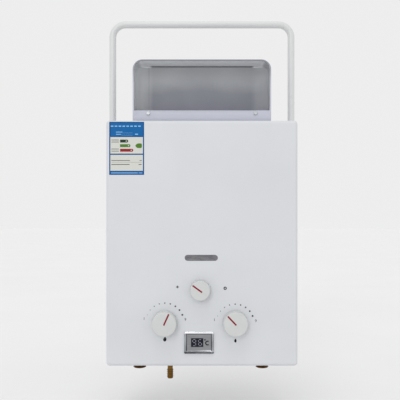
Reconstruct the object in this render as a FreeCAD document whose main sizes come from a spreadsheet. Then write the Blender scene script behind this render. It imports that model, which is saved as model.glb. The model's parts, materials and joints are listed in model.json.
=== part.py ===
import FreeCAD, Part
import math
import os
from types import SimpleNamespace

import Sketcher
from FreeCAD import Placement, Rotation, Vector

# A portable 6 litre propane water heater: sheet casing with a folding carry handle, rain cap over the
# flue, finned copper heat exchanger, burner, linked gas and water valves, three rotary controls.
# Everything is modelled with z = 0 at the casing's bottom and y = 0 on the wall, front towards -Y, and
# then set down so that the origin is midway between the two keyholes.

DIMENSIONS = [
    # casing
    ("case_width", "295", "outside width of the casing"),
    ("case_height", "378", "outside height of the casing"),
    ("case_depth", "128", "front face of the casing from the wall"),
    ("cover_sheet", "0.6", "sheet of the front cover"),
    ("cover_edge", "5", "outside radius of the cover's folded edges"),
    ("cover_bevel", "3.6", "bevel inside the cover's folded edges"),
    ("cover_setback", "6", "rear edge of the cover from the wall"),
    ("cover_lip", "10", "lip left round the cover's open bottom"),
    ("plate_sheet", "0.8", "sheet of the back plate"),
    ("plate_flange", "24", "depth of the back plate's flanges"),
    ("floor_sheet", "0.8", "sheet of the bottom plate"),
    ("sheet_gap", "0.3", "gap between nested sheets"),
    ("shaft_gap", "0.05", "radial clearance of a shaft in its hole"),
    ("move_gap", "0.5", "gap between a moving piece and its neighbour"),
    ("keyhole_drop", "33", "keyholes below the casing's top"),
    ("keyhole_pitch", "180", "distance between the two keyholes"),
    ("keyhole_radius", "5.5", "round part of a keyhole, passes a screw head"),
    ("keyhole_neck", "5.2", "width of a keyhole's slot"),
    ("keyhole_rise", "11", "reach of the slot above the round part"),
    ("foot_hole_height", "30", "lower fixing holes above the casing's bottom"),
    ("foot_hole_radius", "2.75", "lower fixing holes"),
    ("panel_width", "130", "stiffening panel pressed into the back plate"),
    ("panel_low", "72", "bottom edge of the stiffening panel"),
    ("panel_high", "322", "top edge of the stiffening panel"),
    ("panel_depth", "3", "depth of the stiffening panel"),
    ("vent_width", "26", "side vents, along the depth"),
    ("vent_height", "3", "side vents"),
    ("vent_pitch", "8", "side vents"),
    ("vent_low", "24", "lowest side vent"),
    ("vent_out", "96", "front end of the side vents from the wall"),
    ("screw_radius", "1.6", "sheet metal screws"),
    ("screw_head", "3.4", "radius across a screw head"),
    ("screw_head_height", "1.6", "screw heads"),
    ("screw_reach", "7", "screws under the head"),
    ("screw_out", "16", "casing screws from the wall"),
    ("screw_low", "22", "lower side screws"),
    ("screw_high", "64", "upper side screws"),
    ("notch_width", "4", "open slots for the casing screws"),
    # openings in the front
    ("slot_width", "51", "sight slot"),
    ("slot_height", "9.4", "sight slot"),
    ("slot_x", "-1", "sight slot"),
    ("slot_z", "166.5", "sight slot"),
    ("glass_sheet", "1", "mica window behind the sight slot"),
    ("glass_lap", "5", "overlap of the window behind the slot's edge"),
    # controls
    ("gas_x", "-57", "gas control"),
    ("water_x", "51", "water control"),
    ("control_z", "67", "gas and water controls"),
    ("season_x", "-2.7", "season control"),
    ("season_z", "117.5", "season control"),
    ("control_hole", "6", "radius of the spindle holes in the cover"),
    ("knob_radius", "19", "gas and water knobs at the base"),
    ("knob_taper", "1", "how much narrower a knob's face is than its base"),
    ("knob_proud", "20", "knob faces in front of the casing"),
    ("season_knob_radius", "15.6", "season knob at the base"),
    ("season_knob_proud", "18", "season knob's face in front of the casing"),
    ("knob_gap", "0.8", "gap between a knob and the casing"),
    ("knob_edge", "1.5", "bevel round a knob's face"),
    ("pointer_width", "2.4", "groove in a knob's face"),
    ("pointer_depth", "0.8", "groove in a knob's face"),
    ("pointer_tail", "3.7", "pointer past the centre on the small knob"),
    ("gas_pointer", "65.8", "angle of the gas pointer, anticlockwise from the right"),
    ("water_pointer", "133.7", "angle of the water pointer"),
    ("season_pointer", "144", "angle of the season pointer"),
    ("spindle_radius", "4", "gas and water spindles"),
    ("season_spindle_radius", "3", "season spindle"),
    ("spindle_grip", "11", "how far a spindle reaches into its knob"),
    # display
    ("display_x", "-4.5", "temperature display"),
    ("display_z", "36.6", "temperature display"),
    ("bezel_width", "45.6", "display bezel, outside"),
    ("bezel_height", "34.1", "display bezel, outside"),
    ("bezel_proud", "2.6", "display bezel in front of the casing"),
    ("bezel_rim", "4.4", "width of the bezel's rim"),
    ("bezel_corner", "1.5", "corner radius of the bezel"),
    ("bezel_collar", "10", "collar of the bezel behind the casing's front face"),
    ("collar_wall", "1.6", "wall of the collar"),
    ("panel_sheet", "2", "display window"),
    ("panel_sink", "1.1", "display window behind the bezel's front"),
    ("housing_depth", "10", "display housing"),
    ("housing_lap", "3", "display housing wider than the collar, each side"),
    # handle
    ("handle_radius", "6", "handle tube, outside"),
    ("handle_clear", "1", "handle legs from the casing's sides"),
    ("handle_rise", "192", "handle's top above the casing"),
    ("handle_bend", "22", "handle bends, on the centre line"),
    ("handle_out", "12", "handle from the wall"),
    ("handle_tail", "12", "legs below the pivot"),
    ("pivot_drop", "30", "handle pivots below the casing's top"),
    ("bolt_radius", "2.5", "handle bolts"),
    ("bolt_head", "4.8", "radius across a handle bolt's head"),
    ("bolt_head_height", "3", "handle bolt heads"),
    ("nut_height", "4", "handle bolt nuts"),
    ("nut_radius", "4.6", "radius across a handle bolt nut"),
    ("bush_radius", "6", "handle bush flange"),
    ("bush_flange", "0.7", "handle bush flange"),
    ("bush_sleeve", "3.4", "handle bush sleeve, radius"),
    # rain cap
    ("cap_width", "225", "rain cap"),
    ("cap_front", "77", "front of the rain cap from the wall"),
    ("cap_back", "32", "back of the rain cap from the wall"),
    ("cap_rise", "108", "rain cap above the casing"),
    ("cap_sheet", "0.6", "sheet of the rain cap"),
    ("cap_band", "25", "height of the closed band at the cap's front"),
    ("cap_lip", "2.5", "lip round the cap's open front"),
    ("cap_shoulder", "16", "radius of the cap's top corners"),
    ("cap_rear_corner", "25", "radius of the cap's rear corners"),
    ("cap_screw_x", "87", "cap screws"),
    ("cap_screw_rise", "20.7", "cap screws above the casing"),
    # heat exchanger and flue
    ("chamber_width", "194", "combustion chamber"),
    ("chamber_back", "22", "combustion chamber from the wall"),
    ("chamber_depth", "68", "combustion chamber"),
    ("chamber_low", "178", "combustion chamber's bottom"),
    ("chamber_high", "330", "combustion chamber's top"),
    ("chamber_sheet", "0.6", "sheet of the combustion chamber and the flue hood"),
    ("chamber_bevel", "5", "bevelled upright edges of the combustion chamber"),
    ("neck_low", "372", "where the flue hood's neck starts"),
    ("tube_radius", "5", "water tubes"),
    ("tube_bend", "12", "bends of the water tubes, on the centre line"),
    ("tube_sides", "8", "facets round a water tube"),
    ("tube_gap", "0.4", "coil tube from the chamber's walls"),
    ("coil_low", "205", "lower turn of the coil"),
    ("coil_high", "250", "where the coil leaves the chamber"),
    ("coil_start", "112", "joint between the riser and the coil"),
    ("coil_offset", "112", "outer leg of the coil from the middle"),
    ("fin_tube_z", "311", "tubes in the fin stack"),
    ("fin_tube_pitch", "17", "tubes in the fin stack"),
    ("fin_tube_back", "39", "rearmost fin tube from the wall"),
    ("fin_sheet", "0.6", "fins"),
    ("fin_count", "8", "fins"),
    ("fin_pitch", "22", "fins"),
    ("fin_height", "34", "fins"),
    ("header_depth", "8", "return headers"),
    ("header_half", "8", "return headers, half their height"),
    ("bracket_sheet", "1.5", "brackets behind the heat exchanger"),
    ("bracket_width", "100", "brackets behind the heat exchanger"),
    ("bracket_height", "12", "brackets behind the heat exchanger"),
    ("bracket_low", "132", "lower bracket"),
    ("bracket_high", "296", "upper bracket"),
    # burner
    ("frame_low", "128", "burner frame's bottom"),
    ("frame_sheet", "1", "sheet of the burner frame"),
    ("frame_ledge", "5", "ledges that carry the burner bars"),
    ("burner_count", "6", "burner bars"),
    ("burner_pitch", "28", "burner bars"),
    ("burner_top", "158", "top of the burner bars"),
    ("burner_rail", "8", "height of a burner bar's rail"),
    ("burner_rail_width", "7", "width of a burner bar's rail"),
    ("burner_blade", "1.6", "blade of a burner bar"),
    ("burner_bottom", "109", "bottom of the burner bars"),
    ("venturi_radius", "6", "mixing tube of a burner bar"),
    ("venturi_length", "44", "mixing tube of a burner bar"),
    ("burner_gap", "1.3", "burner bars from the frame's front and back"),
    ("manifold_out", "105", "gas manifold from the wall"),
    ("manifold_radius", "7", "gas manifold"),
    ("manifold_length", "168", "gas manifold"),
    ("manifold_rail", "8", "flat rail that takes the nozzles, from the manifold's axis"),
    ("manifold_rail_height", "10", "flat rail that takes the nozzles"),
    ("riser_x", "-72", "gas riser between the valve and the manifold"),
    ("riser_radius", "6", "gas riser"),
    ("season_boss", "9", "season valve's boss, radius"),
    ("season_boss_length", "12", "season valve's boss, from the manifold's axis"),
    ("nozzle_hex", "4", "nozzles, across corners"),
    ("nozzle_body", "5", "nozzles, hexagon"),
    ("nozzle_tip", "2.5", "nozzles, tip length"),
    ("nozzle_tip_radius", "1.8", "nozzles, tip"),
    # electrodes
    ("spark_x", "42", "spark electrode"),
    ("probe_x", "60", "flame probe"),
    ("electrode_z", "168", "electrodes"),
    ("electrode_radius", "3", "ceramic of an electrode"),
    ("electrode_nose", "7", "ceramic behind the frame's front wall"),
    ("electrode_tail", "9", "ceramic in front of the frame's front wall"),
    ("electrode_wire", "0.9", "electrode wire, radius"),
    ("electrode_reach", "14", "electrode wire past the ceramic"),
    ("electrode_plate_height", "14", "plate that holds the electrodes"),
    ("electrode_plate_lap", "7", "plate beyond an electrode"),
    ("electrode_plate_sheet", "1.2", "plate that holds the electrodes"),
    ("thermostat_radius", "8", "overheat thermostat"),
    ("thermostat_height", "7", "overheat thermostat"),
    ("thermostat_out", "70", "overheat thermostat from the wall"),
    ("thermostat_z", "284", "overheat thermostat"),
    # linked valves
    ("train_out", "80", "axis of the valve linkage from the wall"),
    ("rod_radius", "3", "linkage rod"),
    ("stroke", "3", "travel of the linkage"),
    ("gas_body_left", "-84", "gas valve block"),
    ("gas_body_right", "-28", "gas valve block"),
    ("gas_body_back", "56", "gas valve block from the wall"),
    ("gas_body_front", "113", "gas valve block from the wall"),
    ("gas_body_low", "44", "gas valve block"),
    ("gas_body_high", "92", "gas valve block"),
    ("boss_radius", "9", "bosses round the spindles and the rod"),
    ("boss_length", "8", "gland of the gas valve"),
    ("spindle_boss", "6", "spindle boss in front of the gas valve block"),
    ("spindle_depth", "18", "spindle inside the gas valve block"),
    ("seat_x", "-52", "seat of the gas valve"),
    ("gas_chamber", "10", "radius of the gas valve's chamber"),
    ("gas_disc", "8", "radius of the gas valve's disc"),
    ("gas_disc_width", "3", "gas valve's disc"),
    ("end_cap_radius", "14", "cap of the gas valve's chamber"),
    ("end_cap_width", "4", "cap of the gas valve's chamber"),
    ("solenoid_radius", "12", "solenoid"),
    ("solenoid_length", "26", "solenoid"),
    ("solenoid_x", "-66", "solenoid"),
    ("collar_radius", "6", "collar on the linkage rod"),
    ("collar_x", "-8", "collar on the linkage rod, left face"),
    ("collar_width", "3", "collar on the linkage rod"),
    ("cover_boss_x", "4", "diaphragm cover's gland, left face"),
    ("dish_x", "10", "diaphragm cover's dish, left face"),
    ("diaphragm_x", "21", "diaphragm"),
    ("diaphragm_sheet", "1.5", "diaphragm"),
    ("dish_radius", "30", "diaphragm housing"),
    ("dish_cavity", "22", "inside of the diaphragm housing"),
    ("dish_wall", "3.5", "end wall of the diaphragm housing"),
    ("plate_radius", "18", "diaphragm plate"),
    ("plate_width", "3.2", "diaphragm plate"),
    ("dish_screw_circle", "26", "diaphragm housing screws"),
    ("dish_screw_radius", "2", "diaphragm housing screws"),
    ("water_dish_width", "11", "water valve's dish"),
    ("water_block_right", "112", "water valve block"),
    ("water_block_half", "16", "water valve block, half its height"),
    ("water_block_back", "60", "water valve block from the wall"),
    ("water_block_front", "100", "water valve block from the wall"),
    ("inlet_boss", "14", "boss over the cold inlet"),
    ("inlet_boss_low", "28", "boss over the cold inlet"),
    ("inlet_boss_high", "86", "boss over the cold inlet"),
    # switch on the linkage
    ("switch_left", "-16", "micro switch"),
    ("switch_right", "4", "micro switch"),
    ("switch_low", "80.5", "micro switch"),
    ("switch_high", "91", "micro switch"),
    ("switch_width", "8", "micro switch"),
    ("lever_pivot", "79", "pivot of the switch lever"),
    ("lever_tip", "70.2", "tip of the switch lever"),
    ("lever_sheet", "1", "switch lever"),
    ("lever_width", "4", "switch lever"),
    ("lever_arm", "11", "arm of the lever under the switch"),
    ("lever_pin", "0.8", "pivot pin of the lever, radius"),
    ("switch_plate", "1", "bracket of the micro switch"),
    # water and gas connections
    ("cold_x", "99", "cold water inlet"),
    ("pipe_out", "62", "water connections from the wall"),
    ("thread_radius", "10.4775", "half inch pipe thread, outside"),
    ("thread_length", "14", "half inch pipe thread"),
    ("flange_low", "-3", "underside of the fittings' hexagons"),
    ("fitting_hex", "15", "hexagons of the water fittings, across corners"),
    ("fitting_shank", "9.8", "fittings above the bottom plate"),
    ("fitting_crown", "4", "closed top of the water fittings"),
    ("fitting_bore", "7", "bore of the water fittings"),
    ("fitting_hole_gap", "0.6", "bottom plate round the fittings"),
    ("hot_top", "34", "top of the hot outlet's fitting"),
    ("strainer_wall", "0.8", "inlet strainer"),
    ("strainer_low", "-12", "inlet strainer"),
    ("strainer_high", "6", "inlet strainer"),
    ("gas_inlet_x", "-52", "gas inlet"),
    ("gas_inlet_out", "66", "gas inlet from the wall"),
    ("barb_radius", "5.3", "gas barb over its ridges"),
    ("barb_root", "4.3", "gas barb between its ridges"),
    ("barb_bore", "2.6", "bore of the gas barb"),
    ("barb_pitch", "3.6", "ridges of the gas barb"),
    ("barb_count", "4", "ridges of the gas barb"),
    ("barb_step", "0.8", "half the gap between two ridges of the gas barb"),
    ("barb_tip", "-34", "tip of the gas barb"),
    ("gas_shank", "7.5", "gas inlet above the bottom plate"),
    ("gas_flange", "11", "gas inlet's hexagon, across corners"),
    ("drain_x", "68", "drain plug"),
    ("drain_out", "74", "drain plug from the wall"),
    ("drain_radius", "5", "drain plug"),
    ("drain_head", "8", "drain plug's grip"),
    ("drain_head_low", "-8", "drain plug's grip"),
    ("hot_drop", "58", "where the hot pipe turns in to its fitting"),
    ("hot_offset", "116", "hot pipe from the middle"),
    ("nut_hex", "9", "pipe nuts, across corners"),
    ("pipe_nut_height", "8", "pipe nuts"),
    # battery box
    ("cell_radius", "17.1", "D cells"),
    ("cell_length", "61.5", "D cells with their nubs"),
    ("cell_nub", "5", "nub of a cell, radius"),
    ("cell_nub_height", "1.5", "nub of a cell"),
    ("cell_gap", "0.6", "cells from each other and from the box"),
    ("box_wall", "2", "battery box"),
    ("box_x", "16", "middle of the battery box"),
    ("box_back", "6", "battery box from the wall"),
    ("contact_sheet", "0.7", "battery contacts"),
    ("contact_width", "12", "battery contacts"),
    ("lid_sheet", "2", "battery lid"),
    ("lid_lap", "2.5", "battery lid beyond the opening"),
    ("lid_gap", "0.4", "battery lid under the bottom plate"),
    ("hinge_drop", "3", "hinge of the lid under the bottom plate"),
    ("hinge_front", "4.5", "hinge in front of the battery box's opening"),
    ("hinge_pin", "1.2", "hinge trunnions, radius"),
    ("hinge_knuckle", "2.2", "hinge knuckle, radius"),
    ("hinge_length", "40", "hinge knuckle"),
    ("ear_half", "1.8", "ears that carry the hinge, half their depth"),
    ("ear_width", "5", "ears that carry the hinge"),
    # electrics
    ("module_width", "28", "ignition module"),
    ("module_depth", "30", "ignition module"),
    ("module_low", "96", "ignition module"),
    ("module_height", "80", "ignition module"),
    ("module_side", "3", "ignition module from the back plate's flange"),
    ("module_edge", "3", "ignition module's bevels"),
    ("lead_radius", "1.6", "ignition lead"),
    ("lead_bend", "9", "ignition lead's bends"),
    ("lead_sides", "6", "facets round the ignition lead"),
    ("lead_out", "113", "ignition lead's run from the wall"),
    ("lead_rise", "54", "ignition lead above the module's bottom"),
]

doc = FreeCAD.newDocument("water_heater")
sheet = doc.addObject("Spreadsheet::Sheet", "Dims")
for row, (alias, text, meaning) in enumerate(DIMENSIONS, start=1):
    sheet.set(f"A{row}", meaning)
    sheet.set(f"B{row}", text)
    sheet.setAlias(f"B{row}", alias)
doc.recompute()
layout = doc.addObject("App::VarSet", "Layout")


class Size:
    """A number with the formula that gives it, so that a shape is drawn and bound in one go."""

    def __init__(self, value, text):
        self.value = float(value)
        self.text = text

    def join(self, other, sign, value):
        return Size(value, f"({self.text} {sign} {other.text})")

    def __add__(self, other):
        other = size(other)
        return self.join(other, "+", self.value + other.value)

    def __sub__(self, other):
        other = size(other)
        return self.join(other, "-", self.value - other.value)

    def __mul__(self, other):
        other = size(other)
        return self.join(other, "*", self.value * other.value)

    def __truediv__(self, other):
        other = size(other)
        return self.join(other, "/", self.value / other.value)

    def __radd__(self, other):
        return size(other) + self

    def __rsub__(self, other):
        return size(other) - self

    def __rmul__(self, other):
        return size(other) * self

    def __neg__(self):
        return Size(-self.value, f"(-1 * {self.text})")


def size(number):
    """A plain number as a Size."""
    return number if isinstance(number, Size) else Size(number, f"({number})")


d = SimpleNamespace(**{alias: Size(sheet.get(alias), f"Dims.{alias}") for alias, _, _ in DIMENSIONS})
lay = SimpleNamespace()


def derive(name, worked_out):
    """Keep a worked out size under its own name in the Layout set."""
    layout.addProperty("App::PropertyFloat", name)
    layout.setExpression(name, worked_out.text)
    setattr(lay, name, Size(worked_out.value, f"Layout.{name}"))


def bind(target, path, value):
    """Bind one property of an object to its formula."""
    value = size(value)
    target.setExpression(path, value.text)


# Worked out places, named once and used by every piece that meets there.
derive("base", d.keyhole_drop - d.case_height)
derive("side", d.case_width / 2)
derive("inner_side", lay.side - d.cover_sheet)
derive("inner_front", d.case_depth - d.cover_sheet)
derive("inner_top", d.case_height - d.cover_sheet)
derive("tray_side", lay.inner_side - d.sheet_gap)
derive("tray_low", d.cover_sheet + d.floor_sheet)
derive("tray_high", lay.inner_top - d.sheet_gap)
derive("tray_front", d.plate_sheet + d.plate_flange)
derive("panel_front", d.plate_sheet + d.panel_depth)
derive("floor_side", lay.side - d.cover_edge - d.sheet_gap)
derive("floor_front", d.case_depth - d.cover_edge - d.sheet_gap)
derive("keyhole_z", d.case_height - d.keyhole_drop)
derive("pivot_z", d.case_height - d.pivot_drop)
derive("handle_x", lay.side + d.handle_clear + d.handle_radius)
derive("handle_top", d.case_height + d.handle_rise - d.handle_radius)
derive("cap_side", d.cap_width / 2)
derive("cap_top", d.case_height + d.cap_rise)
derive("neck_inset", d.cap_sheet + d.sheet_gap)
derive("neck_side", lay.cap_side - lay.neck_inset)
derive("neck_front", d.cap_front - lay.neck_inset)
derive("neck_back", d.cap_back + lay.neck_inset)
derive("neck_corner", d.cap_rear_corner - lay.neck_inset)
derive("neck_top", d.case_height + d.cap_band - d.sheet_gap)
derive("cap_screw_z", d.case_height + d.cap_screw_rise)
derive("chamber_side", d.chamber_width / 2)
derive("chamber_front", d.chamber_back + d.chamber_depth)
derive("coil_side", lay.chamber_side + d.tube_gap + d.tube_radius)
derive("coil_front", lay.chamber_front + d.tube_gap + d.tube_radius)
derive("coil_back", d.chamber_back - d.tube_gap - d.tube_radius)
derive("fin_tube_front", d.fin_tube_back + 2 * d.fin_tube_pitch)
derive("ledge_top", d.burner_top - d.burner_rail)
derive("rail_out", d.manifold_out - d.manifold_rail)
derive("gland_x", d.gas_body_right + d.boss_length)
derive("diaphragm_end", d.diaphragm_x + d.diaphragm_sheet)
derive("plate_x", d.diaphragm_x - d.sheet_gap - d.plate_width)
derive("disc_x", d.seat_x - d.sheet_gap)
derive("water_dish_end", lay.diaphragm_end + d.water_dish_width)
derive("spindle_front", d.gas_body_front + d.spindle_boss)
derive("lever_x", d.collar_x - d.move_gap)
derive("fitting_hole", d.fitting_shank + d.fitting_hole_gap)
derive("thread_low", d.flange_low - d.thread_length)
derive("cell_pitch", 2 * d.cell_radius + d.cell_gap)
derive("box_half", d.cell_radius + lay.cell_pitch / 2 + d.cell_gap)
derive("box_back_inside", d.box_back + d.box_wall)
derive("box_front_inside", lay.box_back_inside + 2 * (d.cell_radius + d.cell_gap))
derive("cell_out", lay.box_back_inside + d.cell_radius + d.cell_gap)
derive("lid_top", d.cover_sheet - d.lid_gap)
derive("cell_low", lay.lid_top + d.sheet_gap)
derive("cell_top", lay.cell_low + d.cell_length)
derive("box_ceiling", lay.cell_top + d.contact_sheet)
derive("hinge_out", lay.box_front_inside + d.hinge_front)
derive("hinge_z", d.cover_sheet - d.hinge_drop)
derive("module_right", lay.tray_side - d.plate_sheet - d.module_side)

# Local +Z turned to the direction that a piece is built along.
UP = Rotation()
DOWN = Rotation(Vector(1, 0, 0), 180)
FRONT = Rotation(Vector(1, 0, 0), 90)
REAR = Rotation(Vector(1, 0, 0), -90)
RIGHT = Rotation(Vector(0, 1, 0), 90)
LEFT = Rotation(Vector(0, 1, 0), -90)
MARGIN = 1  # how far a cut starts outside what it cuts
KNOB_SIDES = 32

subparts = []


def place(item, x=0, y=0, z=0, turn=UP):
    """Set a piece's Placement: the turn is fixed, the position follows the sheet."""
    item.Placement = Placement(Vector(size(x).value, size(y).value, size(z).value), turn)
    bind(item, "Placement.Base.x", x)
    bind(item, "Placement.Base.y", y)
    bind(item, "Placement.Base.z", z)


def keep(item, label, x=0, y=0, z=0, turn=UP):
    """Name a finished piece and set it down in the object's own frame."""
    item.Label = label
    place(item, x, y, lay.base + z, turn)
    subparts.append(item)
    return item


def new_body(label, x=0, y=0, z=0, turn=UP):
    return keep(doc.addObject("PartDesign::Body", label), label, x, y, z, turn)


def origin_feature(owner, role):
    return [feature for feature in owner.Origin.OriginFeatures if feature.Role == role][0]


class Profile:
    """A sketch with every point held from its origin by the sheet. In a body it lies on a plane of the
    body's origin, moved along the plane's normal: XY looks up, XZ to the front, YZ to the right."""

    def __init__(self, owner, plane="XY_Plane", offset=0):
        self.sketch = owner.newObject("Sketcher::SketchObject", "Profile")
        self.sketch.AttachmentSupport = [(origin_feature(owner, plane), "")]
        self.sketch.MapMode = "FlatFace"
        bind(self.sketch, "AttachmentOffset.Base.z", offset)

    def limit(self, value, *where):
        value = size(value)
        index = self.sketch.addConstraint(Sketcher.Constraint(*where, value.value))
        self.sketch.setExpression(f"Constraints[{index}]", value.text)

    def hold(self, geometry, point, x, y):
        self.limit(x, "DistanceX", -1, 1, geometry, point)
        self.limit(y, "DistanceY", -1, 1, geometry, point)

    def line(self, x0, y0, x1, y1):
        ends = [Vector(size(x).value, size(y).value, 0) for x, y in ((x0, y0), (x1, y1))]
        return self.sketch.addGeometry(Part.LineSegment(*ends), False)

    def polygon(self, points):
        """A closed outline of straight lines through the points."""
        lines = [self.line(*points[i], *points[(i + 1) % len(points)]) for i in range(len(points))]
        for i, line in enumerate(lines):
            following = lines[(i + 1) % len(lines)]
            self.sketch.addConstraint(Sketcher.Constraint("Coincident", line, 2, following, 1))
            self.hold(line, 1, *points[i])
        return self

    def box(self, x0, y0, x1, y1):
        return self.polygon([(x0, y0), (x1, y0), (x1, y1), (x0, y1)])

    def circle(self, x, y, radius):
        centre = Vector(size(x).value, size(y).value, 0)
        ring = Part.Circle(centre, Vector(0, 0, 1), size(radius).value)
        index = self.sketch.addGeometry(ring, False)
        self.hold(index, 3, x, y)
        self.limit(radius, "Radius", index)
        return self

    def many_sided(self, x, y, radius, sides):
        """A regular polygon, one of its corners to the right of the centre."""
        angles = [2 * math.pi * i / sides for i in range(sides)]
        corners = [(x + radius * math.cos(a), y + radius * math.sin(a)) for a in angles]
        return self.polygon(corners)

    def arc(self, x, y, radius, start, end):
        circle = Part.Circle(Vector(x.value, y.value, 0), Vector(0, 0, 1), radius.value)
        angles = math.radians(start), math.radians(end)
        return self.sketch.addGeometry(Part.ArcOfCircle(circle, *angles), False)

    def slot(self, x, y, length, width, upright=False):
        """A slot with round ends, across or upright, about its centre."""
        x, y, radius = size(x), size(y), size(width) / 2
        half = size(length) / 2 - radius
        if upright:
            runs = [(x + radius, y - half, x + radius, y + half), (x - radius, y + half, x - radius, y - half)]
            centres = [(x, y + half, 0), (x, y - half, 180)]
        else:
            runs = [(x - half, y - radius, x + half, y - radius), (x + half, y + radius, x - half, y + radius)]
            centres = [(x + half, y, -90), (x - half, y, 90)]
        lines = []
        for run in runs:
            line = self.line(*run)
            self.hold(line, 1, run[0], run[1])
            self.hold(line, 2, run[2], run[3])
            lines.append(line)
        for i, (cx, cy, start) in enumerate(centres):
            arc = self.arc(cx, cy, radius, start, start + 180)
            self.sketch.addConstraint(Sketcher.Constraint("Coincident", arc, 1, lines[i], 2))
            self.sketch.addConstraint(Sketcher.Constraint("Coincident", arc, 2, lines[1 - i], 1))
            if upright:
                self.limit(cy, "DistanceY", -1, 1, arc, 3)
            else:
                self.limit(cx, "DistanceX", -1, 1, arc, 3)
        return self


def around(radius, sides):
    """Corner radius of a regular polygon that just clears a circle."""
    return radius / math.cos(math.pi / sides)


def cornered(x0, y0, x1, y1, low_radius, high_radius, high_steps=3):
    """Corners of a rectangle: the two low ones bevelled, the two high ones rounded in a few chords."""
    centres = [
        (x1 - low_radius, y0 + low_radius, low_radius, -90, 1),
        (x1 - high_radius, y1 - high_radius, high_radius, 0, high_steps),
        (x0 + high_radius, y1 - high_radius, high_radius, 90, high_steps),
        (x0 + low_radius, y0 + low_radius, low_radius, 180, 1),
    ]
    points = []
    for x, y, radius, start, steps in centres:
        for i in range(steps + 1):
            angle = math.radians(start + 90 * i / steps)
            points.append((x + radius * math.cos(angle), y + radius * math.sin(angle)))
    return points


def feature(owner, kind, profile=None):
    """A new feature at the end of a body's history."""
    item = owner.newObject(f"PartDesign::{kind}", kind)
    if profile is not None:
        item.Profile = profile.sketch
    return item


def pad(owner, profile, length):
    item = feature(owner, "Pad", profile)
    bind(item, "Length", length)
    return item


def pocket(owner, profile, length):
    """Cut from the sketch's plane along its normal."""
    item = feature(owner, "Pocket", profile)
    item.Reversed = True
    bind(item, "Length", length)
    return item


def fillet(owner, radius, chosen):
    """Round the edges of a body's last feature for which chosen(edge) is true."""
    doc.recompute()
    before = owner.Tip
    names = [f"Edge{i}" for i, edge in enumerate(before.Shape.Edges, start=1) if chosen(edge)]
    item = owner.newObject("PartDesign::Fillet", "Fillet")
    item.Base = (before, names)
    bind(item, "Radius", radius)
    return item


def bevel(owner, reach, chosen):
    """Bevel the edges of a body's last feature for which chosen(edge) is true."""
    doc.recompute()
    before = owner.Tip
    names = [f"Edge{i}" for i, edge in enumerate(before.Shape.Edges, start=1) if chosen(edge)]
    item = owner.newObject("PartDesign::Chamfer", "Chamfer")
    item.Base = (before, names)
    bind(item, "Size", reach)
    return item


def repeat(owner, features, axis, pitch, count):
    """Repeat features along an axis of the body's origin."""
    item = owner.newObject("PartDesign::LinearPattern", "LinearPattern")
    item.Originals = features
    item.Direction = (origin_feature(owner, axis), [""])
    bind(item, "Length", pitch * (count - 1))
    bind(item, "Occurrences", count)
    owner.Tip = item
    return item


def part_box(x0, y0, z0, x1, y1, z1):
    item = doc.addObject("Part::Box", "Block")
    bind(item, "Length", size(x1) - x0)
    bind(item, "Width", size(y1) - y0)
    bind(item, "Height", size(z1) - z0)
    place(item, x0, y0, z0)
    return item


def part_cylinder(x, y, z, turn, radius, length):
    item = doc.addObject("Part::Cylinder", "Round")
    bind(item, "Radius", radius)
    bind(item, "Height", length)
    place(item, x, y, z, turn)
    return item


def part_prism(x, y, z, turn, radius, length, sides):
    item = doc.addObject("Part::Prism", "Many sided")
    item.Polygon = sides
    bind(item, "Circumradius", radius)
    bind(item, "Height", length)
    place(item, x, y, z, turn)
    return item


def fuse(items):
    item = doc.addObject("Part::MultiFuse", "Joined")
    item.Shapes = items
    return item


def cut(base, tools):
    item = doc.addObject("Part::Cut", "Cut")
    item.Base = base
    item.Tool = tools[0] if len(tools) == 1 else fuse(tools)
    return item


def extrude(draw, plane, offset, length):
    """A free extrusion of a sketch that draw() fills, on one of the three main planes."""
    holder = doc.addObject("PartDesign::Body", "Form")
    profile = Profile(holder, plane, offset)
    draw(profile)
    pad(holder, profile, length)
    return holder


def chords(points, bend, steps):
    """The path with each corner replaced by a few chords of its arc."""
    path = [points[0]]
    for before, corner, after in zip(points, points[1:], points[2:]):
        back = (before - corner).normalize()
        on = (after - corner).normalize()
        half_angle = back.getAngle(on) / 2
        centre = corner + (back + on).normalize() * (bend / math.sin(half_angle))
        start = corner + back * (bend / math.tan(half_angle)) - centre
        end = corner + on * (bend / math.tan(half_angle)) - centre
        whole = start.getAngle(end)
        for i in range(steps + 1):
            share = whole * i / steps
            path.append(centre + (start * math.sin(whole - share) + end * math.sin(share)) / math.sin(whole))
    path.append(points[-1])
    return path


def bent_tube(points, radius, sides):
    """A many sided bar along straight runs, mitred where two runs meet, so every side is flat."""
    headings = [(after - before).normalize() for before, after in zip(points, points[1:])]
    turn = Rotation(Vector(0, 0, 1), headings[0])
    angles = [2 * math.pi * (i + 0.5) / sides for i in range(sides)]
    ring = [points[0] + turn.multVec(Vector(math.cos(a), math.sin(a), 0) * radius) for a in angles]
    rings = [ring]
    for i in range(1, len(points)):
        normal = headings[i - 1]
        if i < len(headings):
            normal = (headings[i - 1] + headings[i]).normalize()
        along = headings[i - 1]
        ring = [corner + along * ((points[i] - corner).dot(normal) / along.dot(normal)) for corner in ring]
        rings.append(ring)
    outlines = [rings[0], rings[-1]]
    for near, far in zip(rings, rings[1:]):
        for i in range(sides):
            j = (i + 1) % sides
            outlines.append([near[i], near[j], far[j], far[i]])
    faces = [Part.Face(Part.makePolygon(outline + outline[:1])) for outline in outlines]
    return Part.makeSolid(Part.makeShell(faces))


def tube_part(label, points, radius, bend, sides, steps=3):
    """A sub-part whose path turns in space, from points given as Sizes."""
    item = doc.addObject("Part::Feature", label)
    where = [Vector(size(x).value, size(y).value, size(z).value) for x, y, z in points]
    item.Shape = bent_tube(chords(where, bend.value, steps), radius.value, int(sides.value))
    return keep(item, label)


# ---------------------------------------------------------------- casing


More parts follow.
